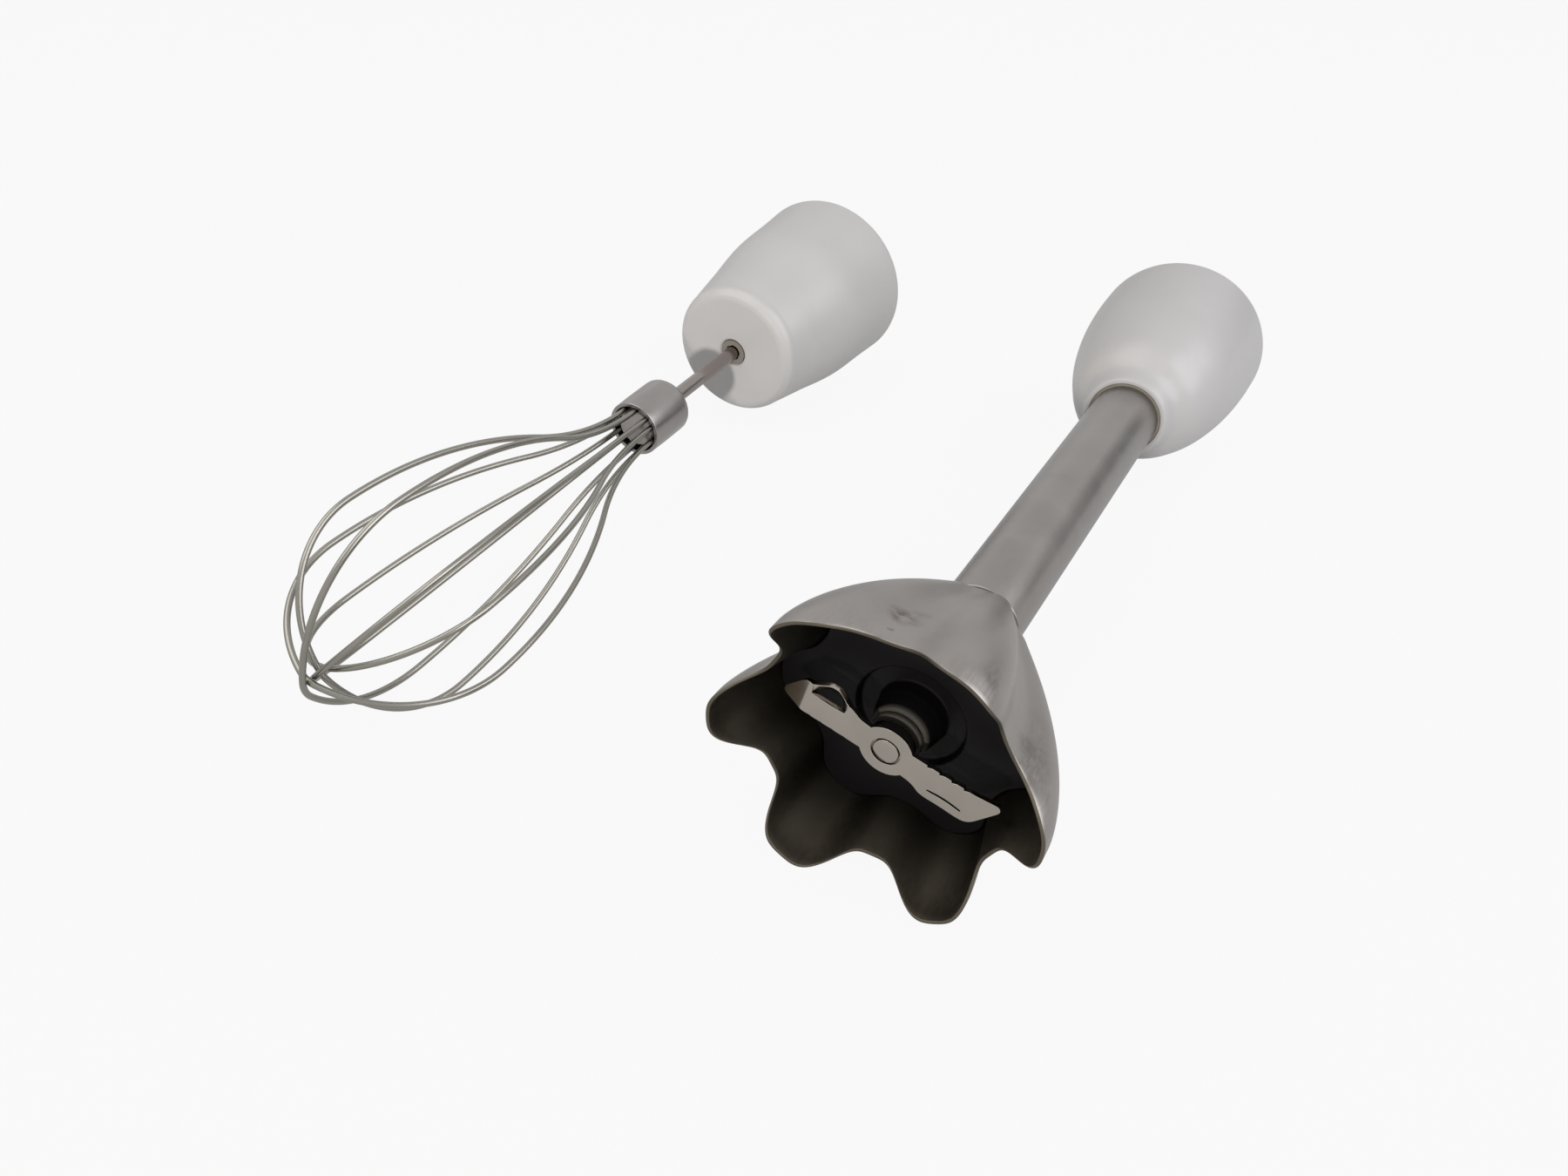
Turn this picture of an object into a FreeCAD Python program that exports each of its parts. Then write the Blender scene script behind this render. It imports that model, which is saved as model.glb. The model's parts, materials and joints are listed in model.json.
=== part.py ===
"""Blending foot and whisk attachment of an immersion blender, lying side by side.

Every piece is drawn along its tool axis: x runs from the working end towards
the coupling that the motor handle plugs into, y to the left, z up.  The foot
starts at the rim plane of its bell, the whisk at the front of its ferrule.
Both tools are then laid on the table as they would rest.  Millimetres.
"""
import FreeCAD, Part
import math
import os

Vector = FreeCAD.Vector
AXIS = Vector(1, 0, 0)
ORIGIN = Vector(0, 0, 0)

# Fits: radial gaps unless said otherwise
seat_gap = 0.02          # pressed or glued seat
running_gap = 0.04       # shaft in its bearing
slip_gap = 0.05          # parts that slide together by hand
liner_gap = 0.3          # plastic liner inside the steel bell
end_play = 0.15          # axial gap between a turning and a fixed face

# Coupling that the motor handle plugs into, the same on both tools
socket_r = 20.5          # bore that takes the handle's nose
socket_length = 22.0     # depth of that bore
throat_r = 16.5          # narrower bore below it
socket_wall = 2.0        # wall of the coupling sleeve
socket_floor = 2.0       # floor plate of the coupling sleeve
floor_hole_r = 6.4       # hole in that floor for the drive coupler
mouth_recess = 0.5       # mouth of the sleeve below the end of its housing
coupler_depth = 25.5     # mouth down to the tip of the drive coupler
coupler_r = 5.5
dog_depth = 5.0          # socket in the coupler's tip
dog_flat = 3.0           # half the width across its flats
latch_width = 7.0        # windows that the handle's latches snap into
latch_length = 3.0
latch_below_mouth = 6.0

# Drive shafts
shaft_r = 2.5
bush_wall = 1.5
clip_wall = 1.2
clip_thickness = 0.6
clip_groove = 0.3

# Bell: a six-petalled guard, drawn from sheet
flutes = 6
flute_crown = 0.0        # angle of one petal's crown, degrees from +y
bell_length = 51.5       # mean rim plane to the neck
bell_rim_r = 34.1        # at the petal crowns
bell_waist_r = 10.0      # crown radius that the flare runs out to at the neck
bell_flare = 1.5         # power of the flare: 1 is a cone, 2 a paraboloid
bell_wall = 1.2
flute_depth = 0.116      # ripple of the radius at the rim
flute_deepening = 0.014  # what the ripple gains towards the neck
flute_sharpening = 0.009 # third harmonic that flattens the crowns
rim_wave = 4.05          # axial wave of the rim: the petals reach forward
rim_wave_sharpening = 0.5
neck_r = 9.0
shoulder_length = 3.0    # rounded shoulder between flare and neck
neck_roof = 5.5          # solid roof of the bell under the neck
spigot_length = 7.5      # stub that the tube is pressed over
spigot_wall = 1.2

# Liner, seal and bearing inside the bell
liner_x = 16.3
liner_thickness = 2.0
liner_hub_front_x = 12.0
liner_hub_front_r = 6.1
liner_hub_r = 7.0
liner_hub_back_x = 26.0
liner_groove_r = 11.6
liner_groove_depth = 2.2
lower_bush_length = 11.5
lower_bush_inset = 0.5
washer_thickness = 0.6
seal_length = 2.4
seal_front_r = 5.4

# Blade, its boss and rivet
blade_x = 5.5
blade_thickness = 1.2
blade_hub_r = 5.6
blade_angle = 16.0       # of one wing, degrees from +y
wing_back = 2.9          # half width on the toothed side
wing_front = 4.9         # half width on the slotted side
wing_root = 9.0          # where the slotted side is full width
wing_bend = 18.0         # where the tip is bent
wing_tip = 23.6
tip_bends = (22.0, 8.0)  # of the two wings, degrees into the bell
slot_start = 10.0
slot_end = 17.4
slot_low = 2.5
slot_high = 3.1
strip_bows = (1.8, 0.3)  # how far the two wings' strips are bowed into the bell
tooth_pitch = 2.6
tooth_depth = 0.55
tooth_count = 4
rivet_head_r = 2.7
rivet_head_height = 0.9
rivet_hole_gap = 0.25
rivet_shank_r = 1.5
rivet_shank_length = 4.0
boss_r = 4.9
boss_length = 2.1

# Tube and what it holds
tube_length = 128.0
tube_r = 9.4
tube_wall = 0.8
sleeve_bore_r = 3.4
sleeve_wall = 1.4
flange_length = 3.0
lower_flange_inset = 2.5
carrier_length = 24.5
carrier_below_end = 2.0
upper_bush_length = 11.5
upper_bush_inset = 1.0
o_ring_section = 0.9     # radius of the ring's round section
o_ring_from_front = 5.0
ring_width = 3.0
ring_length = 2.0

# Collar of the foot
collar_over_tube = 17.0
collar_length = 59.5
collar_nose_r = 11.8     # radii of the outline, and their places from its front
collar_root_r = 13.3
collar_root_x = 5.3
collar_hollow_r = 16.8
collar_hollow_x = 9.5
collar_flare_r = 20.7
collar_flare_x = 18.7
collar_body_r = 24.3
collar_body_x = 34.0
collar_waist_r = 25.8
collar_waist_x = 48.5
collar_end_r = 26.1
collar_edge = 1.0
collar_seal_length = 3.0
collar_seal_wall = 0.7
collar_seal_inset = 0.3
sleeve_gap = 0.5         # floor of the coupling sleeve above the tube's end

# Whisk: five sprung wires in a ferrule, no two of them bent quite alike
wire_r = 0.75
wire_ring_r = 6.0        # where the wires stand in the ferrule
wire_seat = 8.0          # length of wire inside the ferrule
balloon_length = 121.3
balloon_r = 25.3         # to the centre of the wire
balloon_widest = 88.2    # from the ferrule
balloon_tip_bend = 8.1   # bend radius at the tip
root_bend_share = 0.36   # of the flare that bends outwards
loop_spacing = 1.62      # along the axis, where the loops cross
loop_nesting = (1, 3, 0, 2, 4)              # how many loops reach past each one
loop_turns = (22, 64, 98, 135, 161)         # degrees from +y
loop_bulges = (-1.5, 2.0, 4.1, -0.7, 1.0)   # what its +y half stands out further
ferrule_length = 16.8
ferrule_r = 8.1
ferrule_wall = 1.1
ferrule_round = 2.4
ferrule_back = 2.8
plug_length = 9.0
plug_recess = 0.6
whisk_shaft_r = 2.1
whisk_shaft_front = 6.0

# Gearbox of the whisk
gearbox_x = 53.0         # front face, from the front of the ferrule
gearbox_length = 63.9
gearbox_face_r = 17.6    # radii of the outline, and their places from its front
gearbox_brow_r = 19.6
gearbox_brow_x = 1.2
gearbox_shoulder_r = 20.5
gearbox_shoulder_x = 5.2
gearbox_mid_r = 23.0
gearbox_mid_x = 19.4
gearbox_waist_r = 25.9
gearbox_waist_x = 35.6
gearbox_belly_r = 26.9
gearbox_belly_x = 51.8
gearbox_end_r = 27.6
gearbox_edge = 1.8
nose_thickness = 4.0
nose_hole_r = 4.0
nose_boss_r = 9.0
output_bush_wall = 2.0
socket_hub_r = 4.5       # tube of the carrier that the whisk shaft plugs into
socket_hub_recess = 2.2
gear_room_length = 28.5  # front face to the plate behind the gears
plate_thickness = 2.5
plate_r = 22.4
carrier_thickness = 3.0
clip_from_hub_front = 4.0
screw_count = 3
screw_circle_r = 20.5
screw_r = 1.2
screw_length = 12.0
screw_head_r = 1.8
screw_head_height = 1.6

# Planetary gears
gear_module = 0.8
sun_teeth = 12
planet_teeth = 12
planet_count = 3
pressure_angle = 25.0
addendum = 0.7           # in modules
dedendum = 1.0           # in modules
backlash = 0.09          # taken off the thickness of every tooth
gear_face = 7.0
ring_face = 8.0
ring_wall = 2.3
pin_r = 1.2

# Where the whisk lies beside the foot
whisk_ahead = 91.8       # ferrule front beyond the rim plane
whisk_aside = 118.4      # between the two axes


# ---------------------------------------------------------------- helpers
def spun(*pieces):
    """Solid turned about the tool axis: each piece is a corner (x, r), or a list of
    such points that a smooth curve runs through."""
    ends = []
    edges = []
    for piece in pieces:
        points = [Vector(x, r, 0) for x, r in (piece if isinstance(piece, list) else [piece])]
        if ends and not ends[-1].isEqual(points[0], 1e-6):
            edges.append(Part.LineSegment(ends[-1], points[0]).toShape())
        if len(points) > 1:
            curve = Part.BSplineCurve()
            curve.interpolate(points)
            edges.append(curve.toShape())
        ends += [points[0], points[-1]]
    edges.append(Part.LineSegment(ends[-1], ends[0]).toShape())
    return Part.Face(Part.Wire(edges)).revolve(ORIGIN, AXIS, 360)


def ring(start, end, inner, outer):
    """Plain ring, or a disc where inner is 0."""
    return spun((start, inner), (end, inner), (end, outer), (start, outer))


def rod(start, end, radius):
    return Part.makeCylinder(radius, end - start, Vector(start, 0, 0), AXIS)


def block(x0, x1, y0, y1, z0, z1):
    return Part.makeBox(x1 - x0, y1 - y0, z1 - z0, Vector(x0, y0, z0))


def turned(shape, degrees):
    """Copy of shape turned about the tool axis."""
    copy = shape.copy()
    copy.rotate(ORIGIN, AXIS, degrees)
    return copy


def moved(shape, x=0, y=0, z=0):
    copy = shape.copy()
    copy.translate(Vector(x, y, z))
    return copy


def joined(first, *others):
    return first.fuse(list(others)).removeSplitter()


def rims(shape, x, radius):
    """Circular edges of shape with this place and radius."""
    return [edge for edge in shape.Edges
            if hasattr(edge.Curve, "Radius")
            and abs(edge.Curve.Radius - radius) < 1e-3
            and abs(edge.Curve.Center.x - x) < 1e-3]


def plate(points, start, end):
    """Flat plate across the axis, from a closed (y, z) outline."""
    corners = [Vector(start, y, z) for y, z in points]
    face = Part.Face(Part.makePolygon(corners + corners[:1]))
    return face.extrude(AXIS * (end - start))


# ------------------------------------------------------------------- bell
def flute_wave(angle, harmonic=1):
    return math.cos(math.radians(harmonic * flutes * (angle - flute_crown)))


def crown_radius(x):
    """Outer radius of the bell along a petal's crown, without its shoulder."""
    along = max(x, 0.0) / bell_length
    return bell_waist_r + (bell_rim_r - bell_waist_r) * (1 - along ** bell_flare)


def crown_slope(x):
    along = max(x, 0.0) / bell_length
    drop = (bell_rim_r - bell_waist_r) * bell_flare / bell_length
    return drop * along ** (bell_flare - 1)


def bell_radius(angle, x):
    """Outer radius of the fluted bell at an angle and a place along its axis."""
    depth = flute_depth + flute_deepening * max(x, 0.0) / bell_length
    ripple = 1 + depth * flute_wave(angle) - flute_sharpening * flute_wave(angle, 3)
    lobed = crown_radius(x) * ripple / (1 + depth - flute_sharpening)
    blend = 8
    flared = (lobed ** blend + neck_r ** blend) ** (1 / blend)
    past = (x - (bell_length - shoulder_length)) / shoulder_length
    if past <= 0:
        return flared
    return neck_r + (flared - neck_r) * math.sqrt(max(0.0, 1 - past ** 2))


def bell_bore(angle, x):
    """Inner radius of the bell: the wall is measured square to the flare."""
    return bell_radius(angle, x) - bell_wall * math.hypot(1, crown_slope(x))


def rim_x(angle):
    return -rim_wave * flute_wave(angle) + rim_wave_sharpening * flute_wave(angle, 3)


def fluted_skin(radius_at, start_at, end_x, fractions):
    """One smooth surface per petal, from the start line to the plane at end_x."""
    steps = 12
    pitch = 360 / flutes
    skins = []
    for petal in range(flutes):
        grid = []
        for step in range(steps + 1):
            angle = flute_crown + pitch * (petal + step / steps)
            turn = math.radians(angle)
            row = []
            for fraction in fractions:
                x = start_at(angle) + fraction * (end_x - start_at(angle))
                radius = radius_at(angle, x)
                row.append(Vector(x, radius * math.cos(turn), radius * math.sin(turn)))
            grid.append(row)
        surface = Part.BSplineSurface()
        surface.interpolate(grid)
        skins.append(surface)
    return skins


def skin_edges(skins, last):
    """Edges of the skins along their start line, or along their end if last."""
    return [skin.vIso(skin.bounds()[3 if last else 2]).toShape() for skin in skins]


def closed_solid(faces):
    shell = Part.Shell(faces)
    shell.sewShape()
    solid = Part.Solid(shell)
    if solid.Volume < 0:
        solid.reverse()
    return solid


def even(count):
    return [i / count for i in range(count + 1)]


def bell_guard():
    flare_share = 1 - shoulder_length / bell_length
    outer_rows = [flare_share * part for part in even(9)]
    outer_rows += [flare_share + (1 - flare_share) * math.sin(math.pi / 2 * part)
                   for part in even(5)[1:]]
    outer = fluted_skin(bell_radius, rim_x, bell_length, outer_rows)
    inner = fluted_skin(bell_bore, rim_x, bell_length - neck_roof, even(9))
    rim = [Part.makeRuledSurface(a, b)
           for a, b in zip(skin_edges(outer, False), skin_edges(inner, False))]
    roof = Part.Face(Part.Wire(skin_edges(inner, True)))
    neck = Part.Face(Part.Wire(skin_edges(outer, True)))
    shell = closed_solid([skin.toShape() for skin in outer + inner] + rim + [roof, neck])
    spigot = rod(bell_length - neck_roof / 2, spigot_end, spigot_r)
    bore = rod(bell_length - 2 * neck_roof, spigot_end + 1, spigot_bore_r)
    return shell.fuse(spigot).cut(bore)


# --------------------------------------------- places along the foot's axis
spigot_end = bell_length + spigot_length
tube_bore_r = tube_r - tube_wall
spigot_r = tube_bore_r - seat_gap
spigot_bore_r = spigot_r - spigot_wall
tube_end = bell_length + tube_length
collar_x = tube_end - collar_over_tube
collar_end = collar_x + collar_length
foot_floor_x = tube_end + sleeve_gap
foot_mouth = collar_end - mouth_recess
bush_r = shaft_r + running_gap + bush_wall
blade_back = blade_x + blade_thickness
boss_back = blade_back + boss_length
bush_x = liner_hub_front_x + lower_bush_inset
washer_x = bush_x + lower_bush_length + end_play
clip_x = washer_x + washer_thickness + end_play
carrier_end = tube_end - carrier_below_end
carrier_x = carrier_end - carrier_length
sleeve_r = sleeve_bore_r + sleeve_wall
foot_coupler_x = carrier_end + end_play


# ------------------------------------------------------- pieces of the foot
def bell_liner():
    """Black plastic disc across the bell, with the hub that carries the seal and bush."""
    back_x = liner_x + liner_thickness
    skins = fluted_skin(lambda angle, x: bell_bore(angle, x) - liner_gap,
                        lambda angle: liner_x, back_x, even(1))
    front = Part.Face(Part.Wire(skin_edges(skins, False)))
    back = Part.Face(Part.Wire(skin_edges(skins, True)))
    disc = closed_solid([skin.toShape() for skin in skins] + [front, back])
    groove_floor = liner_x + liner_groove_depth
    cup = ring(liner_x, groove_floor + liner_thickness, 0, liner_groove_r + liner_thickness)
    hub = spun((liner_hub_front_x, 0), (liner_hub_front_x, liner_hub_front_r),
               (liner_x, liner_hub_r), (liner_hub_back_x, liner_hub_r), (liner_hub_back_x, 0))
    groove = ring(liner_x - 1, groove_floor, liner_hub_r, liner_groove_r)
    bush_seat = rod(bush_x, liner_hub_back_x + 1, bush_r + seat_gap)
    shaft_hole = rod(0, liner_hub_back_x, shaft_r + slip_gap)
    washer_room = rod(washer_x - end_play, liner_hub_back_x + 1, bush_r + 0.6)
    body = joined(disc, cup).cut(groove).fuse(hub)
    return body.cut([bush_seat, shaft_hole, washer_room]).removeSplitter()


def shaft_seal():
    """Grey lip seal between the turning boss and the liner's hub."""
    front = liner_hub_front_x - seal_length
    return spun((front, shaft_r + slip_gap), (liner_hub_front_x, shaft_r + slip_gap),
                (liner_hub_front_x, liner_hub_front_r), (front + 0.7, seal_front_r),
                (front, seal_front_r))


def bush(x, length):
    return ring(x, x + length, shaft_r + running_gap, bush_r)


def shaft_sleeve():
    """Plastic tube round the shaft, with a flange in the spigot and one in the tube."""
    lower = bell_length + lower_flange_inset
    body = ring(liner_hub_back_x, carrier_x, 0, sleeve_r)
    lower_flange = ring(lower, lower + flange_length, 0, spigot_bore_r - slip_gap)
    upper_flange = ring(carrier_x - flange_length, carrier_x, 0, tube_bore_r - slip_gap)
    bore = rod(liner_hub_back_x, carrier_x, sleeve_bore_r)
    return joined(body, lower_flange, upper_flange).cut(bore)


def bearing_carrier():
    """Plastic plug in the top of the tube that holds the upper bush and an o-ring."""
    body = ring(carrier_x, carrier_end, shaft_r + slip_gap, tube_bore_r - slip_gap)
    seat = rod(carrier_end - upper_bush_inset - upper_bush_length, carrier_end,
               bush_r + seat_gap)
    groove_x = carrier_x + o_ring_from_front
    groove = ring(groove_x - o_ring_section - slip_gap, groove_x + o_ring_section + slip_gap,
                  tube_bore_r - 2 * o_ring_section - seat_gap, tube_r)
    return body.cut([seat, groove])


def carrier_o_ring():
    return Part.makeTorus(tube_bore_r - o_ring_section - seat_gap / 2, o_ring_section,
                          Vector(carrier_x + o_ring_from_front, 0, 0), AXIS)


def foot_tube():
    return ring(bell_length, tube_end, tube_bore_r, tube_r)


def tube_retaining_ring():
    return ring(tube_end - ring_length, tube_end, tube_r + seat_gap, tube_r + ring_width)


def foot_collar():
    """White collar: a closed nose round the tube and a cup for the coupling sleeve."""
    nose = collar_x + collar_edge
    outer = [(nose, collar_nose_r), (collar_x + collar_root_x, collar_root_r),
             (collar_x + collar_hollow_x, collar_hollow_r),
             (collar_x + collar_flare_x, collar_flare_r),
             (collar_x + collar_body_x, collar_body_r),
             (collar_x + collar_waist_x, collar_waist_r),
             (collar_end - collar_edge, collar_end_r)]
    shell = spun((collar_x, tube_r + slip_gap), (collar_x, collar_nose_r - collar_edge),
                 outer, (collar_end, collar_end_r - collar_edge),
                 (collar_end, socket_outer_r + seat_gap),
                 (foot_step_x, socket_outer_r + seat_gap),
                 (foot_step_x, throat_outer_r + seat_gap),
                 (foot_floor_x, throat_outer_r + seat_gap),
                 (foot_floor_x, tube_r + ring_width + seat_gap),
                 (tube_end - ring_length, tube_r + ring_width + seat_gap),
                 (tube_end - ring_length, tube_r + slip_gap))
    seal_seat = rod(collar_x, collar_x + collar_seal_inset + collar_seal_length,
                    tube_r + collar_seal_wall + slip_gap)
    return shell.cut(seal_seat)


def collar_seal_ring():
    start = collar_x + collar_seal_inset
    return ring(start, start + collar_seal_length, tube_r + seat_gap,
                tube_r + collar_seal_wall)


# ------------------------------------------------ coupling, on both tools
socket_outer_r = socket_r + socket_wall
throat_outer_r = throat_r + socket_wall


def coupling_sleeve(floor_x, mouth_x, flange_r):
    """Lining of the coupling: floor plate, throat, and the bore for the handle's nose."""
    step = mouth_x - socket_length
    sleeve = spun((floor_x, floor_hole_r), (floor_x, flange_r),
                  (floor_x + socket_floor, flange_r), (floor_x + socket_floor, throat_outer_r),
                  (step - socket_wall, throat_outer_r), (step - socket_wall, socket_outer_r),
                  (mouth_x, socket_outer_r), (mouth_x, socket_r), (step, socket_r),
                  (step, throat_r), (floor_x + socket_floor, throat_r),
                  (floor_x + socket_floor, floor_hole_r))
    latch_end = mouth_x - latch_below_mouth
    windows = block(latch_end - latch_length, latch_end, -socket_outer_r - 1,
                    socket_outer_r + 1, -latch_width / 2, latch_width / 2)
    return sleeve.cut(windows)


def drive_coupler(start, mouth_x, bore_r):
    """Coupler on the shaft's end, with the hexagonal socket that the handle drives."""
    tip = mouth_x - coupler_depth
    body = spun((start, bore_r), (start, coupler_r), (tip - 0.8, coupler_r),
                (tip, coupler_r - 0.8), (tip, 0), (tip - dog_depth - 1, 0),
                (tip - dog_depth - 1, bore_r))
    corners = [(dog_flat / math.cos(math.pi / 6) * math.cos(math.radians(60 * i)),
                dog_flat / math.cos(math.pi / 6) * math.sin(math.radians(60 * i)))
               for i in range(6)]
    return body.cut(plate(corners, tip - dog_depth, tip + 1))


foot_step_x = foot_mouth - socket_length - socket_wall


# ------------------------------------------------------------ blade shaft
def drive_shaft():
    end = foot_mouth - coupler_depth - dog_depth - 1
    shaft = rod(blade_back, end, shaft_r)
    rivet_hole = rod(blade_back, blade_back + rivet_shank_length, rivet_shank_r + seat_gap)
    groove = ring(clip_x - slip_gap, clip_x + clip_thickness + slip_gap,
                  shaft_r - clip_groove, shaft_r + 1)
    return shaft.cut([rivet_hole, groove])


def shaft_circlip():
    """Open spring ring in the groove of the shaft."""
    body = ring(clip_x, clip_x + clip_thickness, shaft_r - clip_groove + seat_gap,
                shaft_r + clip_wall)
    mouth = block(clip_x - 1, clip_x + clip_thickness + 1, 0, shaft_r + clip_wall + 1,
                  -shaft_r * 0.6, shaft_r * 0.6)
    return body.cut(mouth)


def thrust_washer():
    return ring(washer_x, washer_x + washer_thickness, shaft_r + slip_gap, bush_r)


def blade_boss():
    return ring(blade_back, boss_back, shaft_r + seat_gap, boss_r)


def blade_wing(tip_bend, rise):
    """One wing along +y: toothed behind, slotted in front, its tip bent into the bell
    and the strip beside its slot bowed by rise."""
    web = plate([(0, -wing_back), (wing_bend, -wing_back), (wing_bend, wing_front),
                 (wing_root, wing_front), (wing_root - 2, wing_front - 1.3),
                 (0, wing_front - 1.7)], blade_x, blade_back)
    slot = block(blade_x - 1, blade_back + 1, slot_start, slot_end, slot_low, wing_front + 1)
    teeth = [plate([(u, -wing_back - 1), (u, -wing_back + tooth_depth),
                    (u + tooth_pitch / 2, -wing_back), (u + tooth_pitch / 2, -wing_back - 1)],
                   blade_x - 1, blade_back + 1)
             for u in (wing_root - 1 + tooth_pitch * i for i in range(tooth_count))]
    tip = plate([(wing_bend - 0.3, -wing_back), (wing_tip - 0.7, -wing_back + 0.15),
                 (wing_tip, -wing_back + 1), (wing_bend + 1.5, wing_front),
                 (wing_bend - 0.3, wing_front)], blade_x, blade_back)
    tip.rotate(Vector(blade_x, wing_bend, 0), Vector(0, 0, 1), -tip_bend)
    bow = [(slot_start - 0.2, 0), (slot_start + 2, rise), (slot_end - 2, rise),
           (slot_end + 0.2, 0)]
    near = [Vector(blade_x + h, u, slot_high) for u, h in bow]
    far = [Vector(blade_back + h, u, slot_high) for u, h in reversed(bow)]
    strip = Part.Face(Part.makePolygon(near + far + near[:1]))
    strip = strip.extrude(Vector(0, 0, wing_front - slot_high))
    return web.cut([slot] + teeth).fuse([tip, strip])


def blade():
    hub = rod(blade_x, blade_back, blade_hub_r)
    near, far = [blade_wing(*bends) for bends in zip(tip_bends, strip_bows)]
    body = joined(hub, near, turned(far, 180))
    head_room = rod(blade_x - 1, blade_x + rivet_head_height, rivet_head_r + rivet_hole_gap)
    hole = rod(blade_x - 1, blade_back + 1, rivet_shank_r + slip_gap)
    return turned(body.cut([head_room, hole]), blade_angle)


def blade_rivet():
    head_back = blade_x + rivet_head_height
    return spun((blade_x - 0.4, 0), [(blade_x - 0.4, 0.9), (blade_x - 0.2, rivet_head_r - 0.6),
                (blade_x + 0.2, rivet_head_r)], (head_back, rivet_head_r),
                (head_back, rivet_shank_r),
                (blade_back + rivet_shank_length - slip_gap, rivet_shank_r),
                (blade_back + rivet_shank_length - slip_gap, 0))


# ------------------------------------------------------------------ whisk
def arc_from(start, heading, radius, turn):
    """Arc that leaves start at heading and bends by turn degrees, left if positive.
    Returns the edge, its end and the new heading."""
    side = math.copysign(90, turn)
    centre = start + radius * Vector(math.cos(math.radians(heading + side)),
                                     math.sin(math.radians(heading + side)), 0)

    def at(share):
        spoke = math.radians(heading - side + share * turn)
        return centre + radius * Vector(math.cos(spoke), math.sin(spoke), 0)
    return Part.Arc(start, at(0.5), at(1)).toShape(), at(1), heading + turn


def half_loop(tip_x, widest_r):
    """Edges of half a wire loop in the x, y plane, from the ferrule to the tip."""
    rise = widest_r - wire_ring_r
    flare = 2 * math.degrees(math.atan2(rise, balloon_widest))
    radii = rise / (1 - math.cos(math.radians(flare)))
    reach = tip_x - balloon_widest
    tip_bend_r = balloon_tip_bend
    side_bend_r = ((reach ** 2 + widest_r ** 2 - 2 * reach * tip_bend_r)
                   / (2 * (widest_r - tip_bend_r)))
    side_turn = math.degrees(math.atan2(reach - tip_bend_r, side_bend_r - widest_r))
    seat = Vector(wire_seat, wire_ring_r, 0)
    place = Vector(0, wire_ring_r, 0)
    edges = [Part.LineSegment(seat, place).toShape()]
    heading = 180
    for radius, turn in ((radii * root_bend_share, -flare),
                         (radii * (1 - root_bend_share), flare),
                         (side_bend_r, side_turn), (tip_bend_r, 90 - side_turn)):
        edge, place, heading = arc_from(place, heading, radius, turn)
        edges.append(edge)
    return edges


def wire_loop(number):
    """A sprung wire out of the ferrule, round the balloon's tip and back."""
    tip_x = balloon_length - wire_r - loop_nesting[number] * loop_spacing
    near = half_loop(tip_x, balloon_r + loop_bulges[number])
    far = half_loop(tip_x, balloon_r - loop_bulges[number])
    far = [edge.mirror(ORIGIN, Vector(0, 1, 0)) for edge in reversed(far)]
    path = Part.Wire(Part.__sortEdges__(near + far))
    section = Part.Wire(Part.makeCircle(wire_r, Vector(wire_seat, wire_ring_r, 0), AXIS))
    loop = path.makePipeShell([section], True, False)
    return turned(loop, loop_turns[number])


def whisk_ferrule():
    """Steel cup that is pressed over the wires, thinner at its mouth."""
    back = ferrule_length
    floor = back - ferrule_back
    bore_r = wire_ring_r + wire_r + slip_gap
    cup = spun((0, bore_r), (0, bore_r + ferrule_wall), (back / 3, ferrule_r),
               (back, ferrule_r), (back, whisk_shaft_r + seat_gap),
               (floor, whisk_shaft_r + seat_gap), (floor, bore_r))
    return cup.makeFillet(ferrule_round, rims(cup, back, ferrule_r))


def ferrule_plug():
    outer = wire_ring_r - wire_r - slip_gap
    body = spun((plug_recess, 0), (plug_recess, outer - 0.5), (plug_recess + 0.5, outer),
                (plug_recess + plug_length, outer), (plug_recess + plug_length, 0))
    return body.cut(rod(whisk_shaft_front - seat_gap, ferrule_length, whisk_shaft_r + seat_gap))


# ---------------------------------------- places along the whisk's axis
gearbox_end = gearbox_x + gearbox_length
gear_room_end = gearbox_x + gear_room_length
plate_end = gear_room_end + plate_thickness
whisk_mouth = gearbox_end - mouth_recess
whisk_step_x = whisk_mouth - socket_length - socket_wall
hub_front = gearbox_x + socket_hub_recess
output_bush_x = gearbox_x + nose_thickness
output_bush_r = socket_hub_r + running_gap + output_bush_wall
sun_x = gear_room_end - gear_face - end_play
carrier_back = sun_x - end_play
carrier_front = carrier_back - carrier_thickness
output_bush_end = carrier_front - end_play
socket_depth_x = carrier_front
whisk_shaft_end = socket_depth_x - end_play
orbit_r = gear_module * (sun_teeth + planet_teeth) / 2
ring_teeth = sun_teeth + 2 * planet_teeth
ring_pitch_r = gear_module * ring_teeth / 2
ring_gear_r = ring_pitch_r + gear_module * dedendum + ring_wall
gear_room_r = ring_gear_r + slip_gap


def whisk_shaft():
    shaft = spun((whisk_shaft_front, 0), (whisk_shaft_front, whisk_shaft_r),
                 (whisk_shaft_end - 0.8, whisk_shaft_r),
                 (whisk_shaft_end, whisk_shaft_r - 0.6), (whisk_shaft_end, 0))
    groove_x = hub_front + clip_from_hub_front
    groove = spun((groove_x - 0.2, whisk_shaft_r + 1), (groove_x - 0.2, whisk_shaft_r),
                  (groove_x, whisk_shaft_r - 0.25),
                  (groove_x + clip_thickness, whisk_shaft_r - 0.25),
                  (groove_x + clip_thickness + 0.2, whisk_shaft_r),
                  (groove_x + clip_thickness + 0.2, whisk_shaft_r + 1))
    return shaft.cut(groove)


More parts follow.
